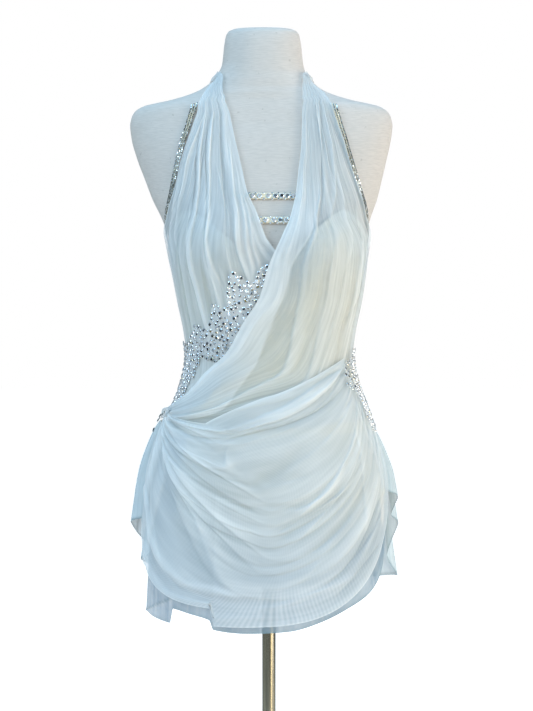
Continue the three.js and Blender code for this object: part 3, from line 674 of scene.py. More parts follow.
# wrap halter panel
wrapPanel = {
    "at": [0, 0.05, 0.07, 0.09, 0.11, 0.13, 0.16, 0.2, 0.23, 0.29, 0.36, 0.43, 0.5, 0.57, 0.66, 0.75, 0.83,
           0.89, 0.94, 0.98, 1],
    "inA": [82, 50, 39, 27, 18, 14.8, 14.1, 14, 14, 13, 12, 10, 6, 1, -4, -13, -24, -42, -58, -76, -86],
    "inZ": [1446, 1437, 1424, 1411, 1400, 1389.5, 1376, 1356.5, 1338, 1304, 1271, 1237, 1211, 1184, 1132,
            1096, 1056, 1021, 987, 968, 962],
    "outA": [98, 62, 60, 50, 37, 30.5, 29.3, 31, 33.7, 40, 49, 62, 86, 100, 106, 104, 84, 38, -8, -48, -72],
    "outZ": [1430, 1432, 1424, 1413, 1403.5, 1396.5, 1382, 1364, 1347, 1309, 1275, 1241, 1206, 1168, 1100,
             1024, 955, 950, 944, 941, 940],
    "near": [0, 0, 0, 0, 0, 0, 0, 0, 0, 0, 0, 0.3, 0.8, 1, 1, 1, 1, 1, 1, 1, 1],
    "lift": 6.2, "deepest": 1.2, "over": 4.8,
    "gathers": 8,
    "map": (0.2, 0.78),
}
# columns as in underCreases
wrapCreases = [
    (0.10, 1.0, 0.10, 0.05, 0.02, 1.8, 0.045, 0),
    (0.06, 0.44, 0.36, 0.43, 0.28, 2.4, 0.035, 0.9),
    (0.06, 0.46, 0.62, 0.66, 0.34, 1.8, 0.03, -0.9),
    (0.30, 1.0, 0.40, 0.17, 0.55, 2.6, 0.03, 0.9),
    (0.16, 0.60, 0.69, 0.64, 0.42, 1.8, 0.03, -0.9),
    (0.05, 0.46, 0.86, 0.99, 0.97, 1.6, 0.03, 0),
    (0.38, 0.74, 0.86, 0.62, 0.60, 1.8, 0.03, 0.9),
    (0.40, 0.96, 0.42, 0.34, 0.56, 1.8, 0.034, 0.9),
    (0.50, 0.90, 0.48, 0.44, 0.50, 1.2, 0.02, 0.9),
    (0.50, 0.92, 0.70, 0.64, 0.70, 1.2, 0.03, -0.9),
    (0.56, 0.94, 0.84, 0.80, 0.84, 1.2, 0.03, 0.9),
    (0.10, 0.56, 0.58, 0.36, 0.17, -2.4, 0.03, 0.9),
    (0.08, 0.34, 0.50, 0.52, 0.56, 1.6, 0.018, -0.9),
    (0.14, 0.70, 0.74, 0.92, 0.50, -2.4, 0.034, 0.9),
    (0.52, 0.88, 0.30, 0.29, 0.36, -1.4, 0.02, 0),
    (0.50, 0.90, 0.56, 0.53, 0.60, -1.0, 0.022, 0.9),
]
# right edge of the doubled band that runs down from the neck
wrapBand = {"at": [0, 0.3, 0.45, 0.51, 0.6, 0.68, 0.76, 0.83, 0.89, 0.93, 1],
            "edge": [0.4, 0.34, 0.22, 0.16, 0.1, 0.09, 0.12, 0.17, 0.31, 0.5, 0.7]}


def wrapShape(u, v):
    # degrees, height, lift, crease height and how far the place is inside the doubled band
    degrees = between(wrapPanel, "inA", "outA", v, u)
    z = between(wrapPanel, "inZ", "outZ", v, u)
    reach = mix(0.32, 1.3, softStep(v, 0.9, 1.02))
    over = wrapPanel["over"] * alongTable(wrapPanel, "near", v) * (1 - softStep(u, reach * 0.6, reach))
    band = alongTable(wrapBand, "edge", v)
    doubled = 1 - softStep(u, band - 0.008, band + 0.008)
    fold = creases(u, v, wrapCreases) + looseCreases(u, v, 23, 80, 0.45, 0.014)
    gather = neckGather(u, v, wrapPanel["gathers"])
    drawn = 0.5 * np.cos(2 * math.pi * 5 * u + 3 * v) * softStep(v, 0.88, 0.98)
    fold = fold * mix(0.3, 1, softStep(v, 0.06, 0.2)) * (1 - 0.6 * softStep(v, 0.9, 1))
    fold = fold + gather + drawn + 0.8 * doubled * softStep(v, 0.3, 0.5)
    lift = wrapPanel["lift"] + overBust(z) + over + np.maximum(fold, -wrapPanel["deepest"])
    return degrees, z, lift * neckTaper(1 - u, v), fold, doubled


def makeWrapPanel():
    # denser at its hems, in the doubled band and at the neck, thinner just beside the band; on its folds
    # lighter on the crests and darker in the hollows, partly doubled cloth and partly painted shade
    u, v = gridOf(280, 320)
    degrees, z, lift, fold, doubled = wrapShape(u, v)
    hem = bell(u, 0.0, 0.01) + bell(u, 1.0, 0.01)
    band = alongTable(wrapBand, "edge", v)
    single = bell(u, band + 0.07, 0.08) * (1 - doubled) * softStep(v, 0.35, 0.5) * (1 - softStep(v, 0.8, 0.9))
    layers = 0.26 * doubled * softStep(v, 0.2, 0.5) - 0.34 * single + 0.4 * (1 - softStep(v, 0, 0.06))
    # the fold term paints light on the crests and shade in the hollows
    layersAndShade = np.clip(0.28 + 0.16 * fold + 0.4 * hem + layers, 0, 1)
    panel = makeSheet("halter_wrap_mesh", lifted(formSurface, degrees, z, lift), wrapPanel["map"], panelMesh,
                      values={"layersAndShade": layersAndShade})
    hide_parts("halter_wrap")


makeWrapPanel()

# neck band
neckBand = {"seam": 1.0, "drop": 3, "creases": 4, "creaseHigh": 0.8, "map": (0.24, 0.03)}


def makeNeckBand():
    # a strip behind the neck from one gathered panel end to the other, with a few creases along it
    u, v = gridOf(160, 40)
    start = mix(wrapPanel["inA"][0], wrapPanel["outA"][0], v) + neckBand["seam"]
    z = mix(wrapPanel["inZ"][0], wrapPanel["outZ"][0], v)
    z = z - neckBand["drop"] * np.sin(math.pi * u)
    fold = neckBand["creaseHigh"] * np.cos(2 * math.pi * neckBand["creases"] * v) * np.sin(math.pi * u)
    lift = (mix(wrapPanel["lift"], underPanel["lift"], u) + fold) * mix(0.4, 0.2, softStep(v, 0.4, 1))
    points = lifted(formSurface, mix(start, 360 - start, u), z, lift)
    # painted light and shade: lighter on the creases' crests, darker between them
    band = makeSheet("neck_band_mesh", points, neckBand["map"], shadedInnerMesh, values={"layersAndShade": 0.7 + 0.2 * fold})
    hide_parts("neck_band")


makeNeckBand()
print("halter ready")

# over skirt: nested U folds between the left hip and the right waist
# For each fold line down the cloth: its left end, lowest place and right end, and how boxy each half is.
swag = {
    "at": [0, 0.12, 0.24, 0.42, 0.68, 0.84, 1],
    "leftA": [-81, -80, -80, -81, -83, -86, -90],
    "leftZ": [961, 957, 953, 949, 945, 941, 936],
    "lowA": [-34, -16, -24, -1, 0, -3, -5],
    "lowZ": [951, 940, 919, 849, 763, 714, 671],
    "rightA": [57, 58, 62, 67, 73, 77, 81],
    "rightZ": [1041, 1028, 1014, 998, 978, 958, 936],
    "boxL": [1.6, 1.4, 1.3, 1.1, 1.1, 1.8, 3],
    "boxR": [0.9, 1.1, 1.2, 1.2, 1.35, 1.6, 1.9],
    "low": 0.52,
    "liftLeft": 13.6, "liftMiddle": 10, "liftRight": 9.2,
    "stepAngle": -22, "stepUp": 24,
    "map": (0.5, 0.42),
}
# first and last place across the skirt, three places down it, height in mm, width down, lean
swagCreases = [
    (-0.1, 1.1, 0.012, 0.012, 0.012, 1.2, 0.012, 0),
    (0.06, 1.0, 0.06, 0.125, 0.07, 3.0, 0.02, -0.9),
    (0.26, 1.0, 0.21, 0.185, 0.24, -2.4, 0.016, 0.9),
    (0.16, 0.66, 0.08, 0.18, 0.26, 2.6, 0.022, -0.9),
    (0.14, 0.64, 0.12, 0.22, 0.29, -1.8, 0.016, 0),
    (0.04, 0.74, 0.06, 0.37, 0.46, 3.4, 0.034, -0.9),
    (0.16, 0.56, 0.22, 0.32, 0.38, -2.4, 0.026, 0),
    (0.10, 0.60, 0.34, 0.45, 0.50, -2.2, 0.022, 0.9),
    (0.18, 0.32, 0.50, 0.49, 0.44, 1.2, 0.01, 0),
    (0.16, 0.66, 0.46, 0.62, 0.72, 3.4, 0.036, -0.9),
    (0.14, 0.60, 0.54, 0.69, 0.77, -2.6, 0.024, 0.9),
    (0.02, 0.70, 0.26, 0.74, 0.88, 3.4, 0.044, -0.9),
    (0.10, 0.66, 0.60, 0.79, 0.90, -2.6, 0.024, 0.9),
    (0.32, 0.60, 0.50, 0.515, 0.54, 2.0, 0.016, -0.9),
    (0.32, 0.60, 0.47, 0.485, 0.51, -1.4, 0.012, 0),
    (0.52, 0.98, 0.60, 0.47, 0.42, 1.8, 0.014, 0.9),
    (0.52, 0.98, 0.68, 0.56, 0.50, 1.6, 0.014, -0.9),
    (0.56, 0.98, 0.38, 0.34, 0.34, 1.4, 0.016, 0.9),
    (0.58, 1.0, 0.80, 0.79, 0.66, 2.2, 0.024, -0.9),
    (0.56, 0.98, 0.87, 0.84, 0.72, -1.8, 0.02, 0.9),
    (0.56, 0.98, 0.93, 0.88, 0.80, 1.6, 0.02, 0),
    (0.00, 0.40, 0.60, 0.80, 0.92, 1.6, 0.02, 0.9),
]
# creases that run down the skirt near both ends: across is u, along is v
swagDrops = [
    (0.24, 1.0, 0.10, 0.12, 0.14, 3.0, 0.018, 0.9),
    (0.34, 0.96, 0.155, 0.17, 0.185, -2.0, 0.014, 0),
    (0.44, 1.0, 0.19, 0.215, 0.27, 2.2, 0.018, -0.9),
    (0.36, 0.90, 0.84, 0.79, 0.74, 1.5, 0.010, 0.9),
    (0.34, 0.94, 0.885, 0.86, 0.85, 1.6, 0.012, 0.9),
    (0.46, 1.0, 0.92, 0.89, 0.875, 1.4, 0.016, -0.9),
    (0.28, 1.0, 0.955, 0.945, 0.935, 1.4, 0.014, 0),
    (0.36, 1.0, 0.905, 0.875, 0.862, -1.4, 0.012, 0.9),
]


def relaxed(field, reach):
    # mean over neighbouring columns, to round off the bottom of the U
    padded = np.pad(field, ((0, 0), (reach, reach)), mode="edge")
    return sum(padded[:, k:k + field.shape[1]] for k in range(2 * reach + 1)) / (2 * reach + 1)


def swagShape(u, v):
    # Each row is a U: one super-ellipse quarter from its left end down to its lowest place, another up.
    left = u < swag["low"]
    turn = math.pi / 2 * np.where(left, u / swag["low"], (1 - u) / (1 - swag["low"]))
    names = ("leftA", "leftZ", "lowA", "lowZ", "rightA", "rightZ", "boxL", "boxR")
    column = {name: alongTable(swag, name, v) for name in names}
    power = 2 / np.where(left, column["boxL"], column["boxR"])
    endA = np.where(left, column["leftA"], column["rightA"])
    endZ = np.where(left, column["leftZ"], column["rightZ"])
    degrees = mix(column["lowA"], endA, np.cos(turn) ** power)
    z = mix(endZ, column["lowZ"], np.sin(turn) ** power)
    near = bell(u, swag["low"], 0.13) * softStep(v, 0.04, 0.12)
    degrees, z = (mix(part, relaxed(relaxed(part, 14), 14), near) for part in (degrees, z))
    stepped = softStep(swag["stepAngle"] - degrees, -0.6, 1.4) * softStep(u, 0.1, 0.3)
    z = z + swag["stepUp"] * softStep(v, 0.86, 1) * stepped
    away = np.sin(turn)
    base = mix(swag["liftLeft"], swag["liftMiddle"], softStep(degrees, -66, -34))
    base = mix(base, swag["liftRight"], softStep(degrees, 20, 60)) + 2.5 * away * softStep(v, 0.5, 1)
    fold = creases(v, u, swagCreases) + creases(u, v, swagDrops)
    fold = fold + looseCreases(v, u, 31, 80, 0.4, 0.018) * away
    fan = looseCreases(v, 2 * u - 1, 32, 60, 2.2, 0.02) + looseCreases(v, 1 - 2.4 * u, 33, 36, 1.6, 0.02)
    fold = 0.75 * fold * mix(0.35, 1, np.clip(away * 1.6, 0, 1)) * (1 - 0.8 * bell(u, swag["low"], 0.1))
    fold = fold + fan * np.clip(away * 3, 0.25, 1)
    return degrees, z, np.maximum(base + fold, base - 2.4), fold


def makeOverSkirt():
    # denser at its hems and where its panels overlap; on its folds lighter on the crests and darker in the
    # hollows, partly doubled cloth and partly painted shade; painted light towards the left, painted shade
    # towards the right and near the hem; the bands show most in the lower middle
    u, v = gridOf(320, 280)
    degrees, z, lift, fold = swagShape(u, v)
    hem = bell(v, 1.0, 0.006) + bell(v, 0.0, 0.008)
    panel = softStep(degrees, swag["stepAngle"] - 0.4, swag["stepAngle"] + 0.4) * softStep(v, 0.44, 0.5)
    hemShade = 0.25 * softStep(v, 0.8, 0.95)  # painted shade: darker and thinner near the hem, where no leotard shows through
    # painted light: lighter towards the left; painted shade: a little darker towards the right
    sides = 0.24 * softStep(-degrees, 14, 40) - 0.06 * softStep(degrees, 14, 40)
    layersAndShade = np.clip(0.5 + 0.12 * fold + 0.35 * hem + 0.07 * panel + sides - hemShade, 0, 1)
    moire = softStep(v, 0.2, 0.3) * (0.35 + 0.65 * softStep(v, 0.8, 0.9)) * bell(degrees, -2, 46)
    skirt = makeSheet("skirt_over_mesh", lifted(skirtSurface, degrees, z, lift), swag["map"], skirtMesh,
                      values={"layersAndShade": layersAndShade, "moire": moire})
    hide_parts("skirt_over")


makeOverSkirt()

# under skirt
underSkirt = {
    "at": [-74, -60, -48, -46, -34, -24, -22, -8, 6, 20, 35, 47, 56, 62, 66],
    "hem": [676, 671, 669, 690, 686, 680, 667, 663, 666, 677, 693, 708, 728, 752, 786],
    "seam": 936,
    "lift": 4.9, "hang": 2.8, "wave": 1.2, "closer": 1.6, "swing": 5.4,
    "corner": -46, "turned": 690, "turnedLean": 1.1,
    "map": (0.42, 0.28),
}


def makeUnderSkirt():
    # hangs straight from the hip seam; the hem stands a little away at the right
    u, v = gridOf(280, 90)
    degrees = alongTable({"at": [0, 0.5, 1], "degrees": [-74, -8, 66]}, "degrees", u)
    z = mix(underSkirt["seam"], alongTable(underSkirt, "hem", degrees), v)
    wave = underSkirt["wave"] * np.sin(np.radians(degrees * 9))
    wave = (wave + looseCreases(u, v, 41, 24, 0.8, 0.03)) * v
    swing = underSkirt["swing"] * softStep(degrees, 40, 60) * softStep(v, 0.84, 1)
    closer = underSkirt["closer"] * softStep(degrees, -10, 25)  # lies inside the folds above it at the right
    lift = underSkirt["lift"] + (underSkirt["hang"] - closer) * softStep(v, 0, 0.5) + swing
    lift = lift + np.clip(wave, -1.2, 2.6 - closer)
    corner = softStep(underSkirt["corner"] - degrees, 0, 1.5)  # the corner at the left hem is turned up
    turned = underSkirt["turned"] + underSkirt["turnedLean"] * (degrees + 60)
    fold = bell(z, turned, 1.6) * corner
    # darker towards the hem and on the turned corner; the wave term paints shade, darker in the hollows of
    # the waves and lighter where they stand out
    layersAndShade = mix(softStep(v, 0.3, 0.85), mix(0.95, 0.84, softStep(turned - z, -1, 1)), corner) - 0.06 * wave
    edge = np.maximum(0.6 * bell(v, 1.0, 0.012), 0.9 * fold)
    points = lifted(skirtSurface, degrees, z, lift + 1.5 * fold)
    skirt = makeSheet("skirt_under_mesh", points, underSkirt["map"], underMesh,
                      values={"layersAndShade": np.clip(layersAndShade, 0, 1), "edge": edge})
    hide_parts("skirt_under")


makeUnderSkirt()

# back skirt
# A row per crest and trough round the back: hem height, lift at the seam and lift at the hem.
backSkirt = {
    "at": [67, 77, 88, 94, 100, 106, 112, 118, 127, 135, 144, 153, 162, 171, 180, 190, 199, 208, 217, 226,
           234, 243, 249, 255, 260, 265, 270, 278, 285],
    "hem": [852, 848, 841, 828, 800, 780, 732, 690, 690, 688, 692, 690, 690, 688, 688, 688, 690, 690, 692,
            694, 700, 716, 738, 768, 786, 796, 800, 792, 784],
    "top": [4.4, 4.4, 4.4, 5, 4, 5, 4, 5, 4, 5, 4, 5, 4, 5, 4, 5, 4, 5, 4, 5, 4, 6, 6, 12, 18, 14, 8, 5, 4.4],
    "out": [7, 6.4, 9, 23, 15, 31, 19, 47, 14, 22, 11, 19, 10, 18, 10, 19, 10, 18, 11, 22, 12, 45, 14, 34,
            39, 21, 10, 8, 7.2],
    "seam": 936,
    "crests": (94, 106, 118, 243, 255, 260),  # the points whose outline is dark
    "map": (0.9, 0.25),
}


def makeBackSkirt():
    # pleats round the back: the lift swings from the seam's to the hem's with the height down
    u, v = gridOf(420, 90)
    degrees = mix(backSkirt["at"][0], backSkirt["at"][-1], u)
    z = mix(backSkirt["seam"], alongTable(backSkirt, "hem", degrees), v)
    out = alongTable(backSkirt, "out", degrees)
    lift = mix(alongTable(backSkirt, "top", degrees), out, v ** 0.7) + 0.5
    lift = lift + looseCreases(u, v, 53, 40, 0.8, 0.01) * v
    outline = sum(bell(degrees, crest, 0.7) for crest in backSkirt["crests"]) * softStep(v, 0.4, 0.7)
    hem = np.maximum(bell(v, 1.0, 0.02), outline)
    # painted light and shade: pleats that stand further out are lighter, those tucked in darker; the darker
    # inside look is painted shade too
    layersAndShade = np.clip(0.5 + 0.012 * (out - 14), 0, 1)
    skirt = makeSheet("skirt_back_mesh", lifted(skirtSurface, degrees, z, lift), backSkirt["map"], shadedInnerMesh,
                      values={"layersAndShade": layersAndShade, "edge": 0.8 * hem})
    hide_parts("skirt_back")


makeBackSkirt()

# hip knot
knot = {"left": -104, "right": -71, "z": 948, "rise": 12, "high": 21, "lift": 14.8, "swell": 4, "ridges": 2,
        "toneSeed": 10, "map": (0.08, 0.05)}


def makeKnot():
    # a short roll of gathered cloth: an arch both ways, crimped by ridges, its upper edge pressed down
    u, v = gridOf(70, 90)
    across = np.abs(2 * u - 1)
    rounded = np.sqrt(np.maximum(1 - across ** 3, 0.06))
    arch = np.sqrt(np.maximum(np.sin(math.pi * u) * np.sin(math.pi * v), 0))
    crimp = 0.92 + 0.08 * np.cos(2 * math.pi * knot["ridges"] * (v + 0.2 * u + 0.05 * np.sin(9 * u)))
    degrees = mix(knot["left"], knot["right"], u)
    z = knot["z"] + knot["rise"] * u + knot["high"] * rounded * (0.5 - v)
    lift = knot["lift"] * mix(0.5, 1, softStep(v, 0, 0.35)) + knot["swell"] * arch * crimp
    # lighter over the swell and on its ridges, darker towards its ends: partly bunched cloth, partly painted
    # light and shade
    lump = makeSheet("hip_knot_mesh", lifted(formSurface, degrees, z, lift), knot["map"], panelMesh,
                     values={"layersAndShade": np.clip(0.1 + 0.4 * crimp * arch, 0, 1)})
    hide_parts("hip_knot")


makeKnot()
print("skirts ready")

# rhinestones
# Tones of the side facets and of the flat tops, and how often each comes. The white, sky-blue and dark tones
# are painted reflections and glints of bright and dark surroundings.
frontReflectionTones = {
    "facets": {"#ffffff": 0.40, "#e4e9ec": 0.26, "#b3babf": 0.12, "#6a6f74": 0.08, "#e9d8ac": 0.07,
               "#b9d8ea": 0.07},
    "tables": {"#ffffff": 0.22, "#b9bfc2": 0.14, "#5c6268": 0.26, "#23272c": 0.28, "#8a7a4e": 0.10},
}
strapReflectionTones = {
    "facets": {"#ffffff": 0.46, "#dff0f8": 0.30, "#a8c0cc": 0.16, "#5c666c": 0.08},
    "tables": {"#ffffff": 0.42, "#dfe9ee": 0.30, "#8d969c": 0.18, "#3c4248": 0.10},
}
edgeReflectionTones = {
    "facets": {"#f2f4f0": 0.26, "#b9bfbc": 0.20, "#7e8684": 0.24, "#43494b": 0.22, "#cfc49a": 0.08},
    "tables": {"#ffffff": 0.18, "#9aa09e": 0.22, "#4a5053": 0.32, "#1f2327": 0.28},
}


def stoneShape(sides):
    # a foil-backed stone: base ring, girdle ring and a smaller table ring turned by half a side
    turn = 2 * math.pi * np.arange(sides) / sides
    half = math.pi / sides
    rings = [(0.82, 0.0, 0), (1.0, 0.22, 0), (0.62, 0.55, half)]
    points = [np.stack([r * np.cos(turn + a), r * np.sin(turn + a), np.full(sides, z)], -1)
              for r, z, a in rings]
    k = np.arange(sides)
    after = (k + 1) % sides
    faces = [[int(x) for x in k[::-1]], [int(x) for x in k + 2 * sides]]
    faces += np.stack([k, after, after + sides, k + sides], -1).tolist()
    faces += np.stack([k + sides, after + sides, k + 2 * sides], -1).tolist()
    faces += np.stack([after + sides, after + 2 * sides, k + 2 * sides], -1).tolist()
    return np.concatenate(points), faces


def pickTones(tones, count, draw):
    # one tone for each of so many faces, drawn by how often each comes
    colours = np.array([linearColour(tone) for tone in tones])
    return colours[draw.choice(len(colours), count, p=list(tones.values()))]


def makeStones(name, centres, normals, radii, seed, tones, sides=8):
    # every stone is the same shape, scaled to its radius and stood on its normal with a seeded turn
    draw = np.random.default_rng(seed)
    shape, shapeFaces = stoneShape(sides)
    side = np.cross(normals, [0.13, 0.2, 0.97])
    side /= np.linalg.norm(side, axis=-1, keepdims=True)
    other = np.cross(normals, side)
    spin = draw.uniform(0, 2 * math.pi, len(centres))[:, None]
    first = side * np.cos(spin) + other * np.sin(spin)
    second = np.cross(normals, first)
    local = shape[None] * radii[:, None, None]
    points = centres[:, None] + local[..., :1] * first[:, None] + local[..., 1:2] * second[:, None]
    points = points + local[..., 2:] * normals[:, None]
    faces = [[index + len(shape) * n for index in face] for n in range(len(centres)) for face in shapeFaces]
    piece = meshObject(name, points.reshape(-1, 3), faces, crystal)
    mesh = piece.data
    mesh.polygons.foreach_set("use_smooth", np.zeros(len(mesh.polygons), bool))
    # painted reflections: a tone drawn for each facet, then one for each flat top
    picked = pickTones(tones["facets"], len(mesh.polygons), draw)
    picked[1::len(shapeFaces)] = pickTones(tones["tables"], len(centres), draw)
    corners = np.repeat(picked, [len(face) for face in faces], axis=0)
    attribute = mesh.attributes.new("facetReflection", "FLOAT_COLOR", "CORNER")
    attribute.data.foreach_set("color", corners.astype(np.float32).ravel())


def scatterStones(name, degrees, z, lift, radii, applique):
    # stones at the given places, in their order, leaving out each that would touch one already kept
    points = lifted(formSurface, degrees, z, lift + applique["stoneLift"])
    kept = []
    for n, radius in enumerate(radii):
        apart = np.linalg.norm(points[kept] - points[n], axis=-1)
        if (apart > radius + radii[kept] + applique["gap"]).all():
            kept.append(n)
    normals = outward(formSurface, degrees, z)
    makeStones(name, points[kept], normals[kept], radii[kept], applique["toneSeed"], frontReflectionTones)
    print(name, len(kept))


# front applique
frontApplique = {"lift": 1.6, "sizes": (3.1, 2.4, 1.6), "tries": (420, 800, 1100), "gap": 0.15, "seed": 5,
                 "toneSeed": 6, "stoneLift": 0.1, "map": (0.15, 0.07)}


def makeFrontApplique():
    # net on the under panel's own points, moved out, with stones of three sizes scattered over it
    u, v = gridOf(150, 50)
    edge = (appliqueEdges["at"][0], appliqueEdges["at"][-1])
    across = mix(*edge, u)
    top, low = (alongTable(appliqueEdges, side, across) for side in ("top", "low"))
    degrees, z, lift = underShape(across, mix(top, low, v))[:3]
    points = lifted(formSurface, degrees, z, lift + frontApplique["lift"])
    net = makeSheet("applique_front_net", points, frontApplique["map"], stoneNet, values={"layersAndShade": 0.9})
    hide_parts("applique_front")
    draw = np.random.default_rng(frontApplique["seed"])
    radii = np.repeat(frontApplique["sizes"], frontApplique["tries"])
    across = mix(*edge, draw.uniform(0, 1, len(radii)))
    top, low = (alongTable(appliqueEdges, side, across) for side in ("top", "low"))
    down = mix(top - 0.004, low + 0.008, draw.uniform(0, 1, len(radii)))
    degrees, z, lift = underShape(across, down)[:3]
    scatterStones("applique_front_stones", degrees, z, lift + frontApplique["lift"], radii, frontApplique)


makeFrontApplique()

# tones of the knot's stones, mostly dark: painted reflections and glints
knotReflectionTones = {
    "facets": {"#e8ebe6": 0.16, "#9aa39f": 0.28, "#5e6664": 0.30, "#2f3436": 0.26},
    "tables": {"#ffffff": 0.14, "#aab2ae": 0.26, "#4a5053": 0.32, "#1f2327": 0.28},
}
# stones on the knot's lower edge and one below it: degrees, height, lift and radius
knotStones = [
    (-76, 956, 17.5, 1.8), (-78, 952, 18.2, 2.2), (-82, 949, 18.6, 2.4), (-86, 946, 18.6, 2.2),
    (-91, 944, 18.2, 1.8), (-80, 945, 18.6, 1.9), (-84, 942, 18.8, 2.2), (-88, 939, 18.8, 2.4),
    (-93, 938, 18.4, 1.9), (-87, 926, 19.5, 3.8),
]


def makeKnotStones():
    # each stone at its own place in the table, over the skirt's surface
    degrees, z, lift, radii = np.array(knotStones, float).T
    centres = lifted(skirtSurface, degrees, z, lift)
    normals = outward(skirtSurface, degrees, z)
    makeStones("hip_knot_stones", centres, normals, radii, knot["toneSeed"], knotReflectionTones)


makeKnotStones()

# side applique
sideApplique = {
    "at": [0, 0.1, 0.16, 0.24, 0.4, 0.48, 0.54, 0.6, 0.72, 0.84, 1],
    "left": [74, 68, 58, 55, 53, 54, 60, 65, 65, 67, 70],
    "right": [84, 88, 91, 93, 97, 97, 97, 95, 93, 90, 86],
    "z": [1052, 1045, 1039, 1030, 1010, 1000, 992, 984, 966, 948, 930],
    "overDrape": 13.6, "overWrap": 9.4, "drapeEnds": (63, 76),
    "sizes": (2.8, 2.1, 1.5), "tries": (90, 220, 400), "gap": 0.25, "seed": 8,
    "toneSeed": 9, "stoneLift": 0.1, "map": (0.07, 0.13),
}


def sideShape(u, v):
    # between the two edges at each height, high over the drape in front and lower over the wrap at the side
    degrees = between(sideApplique, "left", "right", v, u)
    onWrap = softStep(degrees, *sideApplique["drapeEnds"])
    lift = mix(sideApplique["overDrape"], sideApplique["overWrap"], onWrap)
    return degrees, alongTable(sideApplique, "z", v), lift


def makeSideApplique():
    # net between the two edges, with stones of three sizes scattered over it
    u, v = gridOf(40, 80)
    degrees, z, lift = sideShape(u, v)
    net = makeSheet("applique_side_net", lifted(formSurface, degrees, z, lift), sideApplique["map"], stoneNet,
                    values={"layersAndShade": 0.1})
    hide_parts("applique_side")
    draw = np.random.default_rng(sideApplique["seed"])
    radii = np.repeat(sideApplique["sizes"], sideApplique["tries"])
    degrees, z, lift = sideShape(*draw.uniform(0, 1, (2, len(radii))))
    scatterStones("applique_side_stones", degrees, z, lift, radii, sideApplique)


makeSideApplique()

# chest straps
chestStraps = {
    "strap_chest_upper": {"z": 1268, "left": -10, "right": 17, "lift": 0.9},
    "strap_chest_lower": {"z": 1235, "left": -7, "right": 15, "lift": 1.5},
}
strapBand = {"wide": 9, "thick": 1.0, "stone": 3.9, "gap": 0.7, "filler": 1.5, "fillerBeside": 3.9}


def makeBand(node, points, sizes):
    # rings along the band joined into a closed piece; says how many stones fit along its middle
    band = makeRings(node + "_band", points, creamStretch)
    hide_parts(node)
    length = np.linalg.norm(np.diff(points.mean(1), axis=0), axis=-1).sum()
    return int(length / (2 * sizes["stone"] + sizes["gap"]))


def makeChestStrap(node, place, seed):
    # a cream band with rounded edges, a row of large stones down its middle and small ones between them
    u, v = gridOf(60, 12)
    ring = np.radians(360 * v[:-1])
    degrees = mix(place["left"], place["right"], u[:-1])
    z = place["z"] + strapBand["wide"] / 2 * np.cos(ring)
    lift = place["lift"] + strapBand["thick"] * (0.5 + 0.5 * np.sin(ring))
    count = makeBand(node, lifted(formSurface, degrees, z, lift).transpose(1, 0, 2), strapBand)
    along = (np.arange(count) + 0.5) / count
    between = np.arange(1, count) / count
    side = np.repeat([strapBand["fillerBeside"], -strapBand["fillerBeside"]], count - 1)
    degrees = mix(place["left"], place["right"], np.concatenate([along, between, between]))
    z = place["z"] + np.concatenate([np.zeros(count), side])
    radii = np.repeat([strapBand["stone"], strapBand["filler"]], [count, 2 * (count - 1)])
    centres = lifted(formSurface, degrees, z, place["lift"] + strapBand["thick"])
    makeStones(node + "_stones", centres, outward(formSurface, degrees, z), radii, seed, strapReflectionTones)


for seed, (node, place) in enumerate(chestStraps.items(), 70):
    makeChestStrap(node, place, seed)

# armhole bands
armhole = {
    "at": [0, 0.05, 0.1, 0.16, 0.22, 0.28, 0.34, 0.4, 0.46, 0.52, 0.6, 0.7, 0.84, 1],
    "degrees": [29, 27.5, 28.5, 31.5, 35, 39, 44, 49, 55, 63, 79, 100, 130, 172],
    "z": [1396, 1388, 1370, 1350, 1330, 1311, 1290, 1272, 1257, 1243, 1216, 1190, 1120, 1068],
    "rightOut": 3,
    "wide": 5.4, "lift": 1.8, "thick": 0.9, "stone": 1.3, "gap": 0.2, "rowsApart": 2.5,
}


def makeArmholeBand(node, side, seed):
    # a band whose middle follows the table; its edges lie to both sides of that line on the body
    def middle(t):
        # the table's line, mirrored for the left; the right one runs a little further out in front
        further = armhole["rightOut"] * (side > 0) * (1 - softStep(t, 0.45, 0.65))
        return side * (alongTable(armhole, "degrees", t) + further), alongTable(armhole, "z", t)

    def beside(t, offset, lift):
        # a step sideways from the line, at right angles to where it runs on the unrolled body
        (a0, z0), (a1, z1) = middle(t - 0.01), middle(t + 0.01)
        degrees, z = middle(t)
        reach = np.linalg.norm(formSurface(degrees, z)[..., :2], axis=-1)
        right, up = np.radians(a1 - a0) * reach, z1 - z0
        across = offset / np.hypot(right, up)
        return degrees - np.degrees(up * across / reach), z + right * across, lift

    u, v = gridOf(220, 10)
    ring = np.radians(360 * v[:-1])
    lift = armhole["lift"] + armhole["thick"] * (0.5 - 0.5 * side * np.sin(ring))
    points = lifted(formSurface, *beside(u[:-1], armhole["wide"] / 2 * np.cos(ring), lift))
    count = makeBand(node, points.transpose(1, 0, 2), armhole)
    t = (np.arange(count) + 0.5) / count
    t = np.concatenate([t, np.clip(t + 0.5 / count, 0, 0.998), t])
    offset = np.repeat([armhole["rowsApart"], 0, -armhole["rowsApart"]], count)
    degrees, z, lift = beside(t, offset, np.full(3 * count, armhole["lift"] + armhole["thick"]))
    centres = lifted(formSurface, degrees, z, lift)
    radii = np.full(3 * count, armhole["stone"])
    makeStones(node + "_stones", centres, outward(formSurface, degrees, z), radii, seed, edgeReflectionTones, 6)


makeArmholeBand("strap_armhole_right", 1, 81)
makeArmholeBand("strap_armhole_left", -1, 82)
print("stones ready")

# floor and light


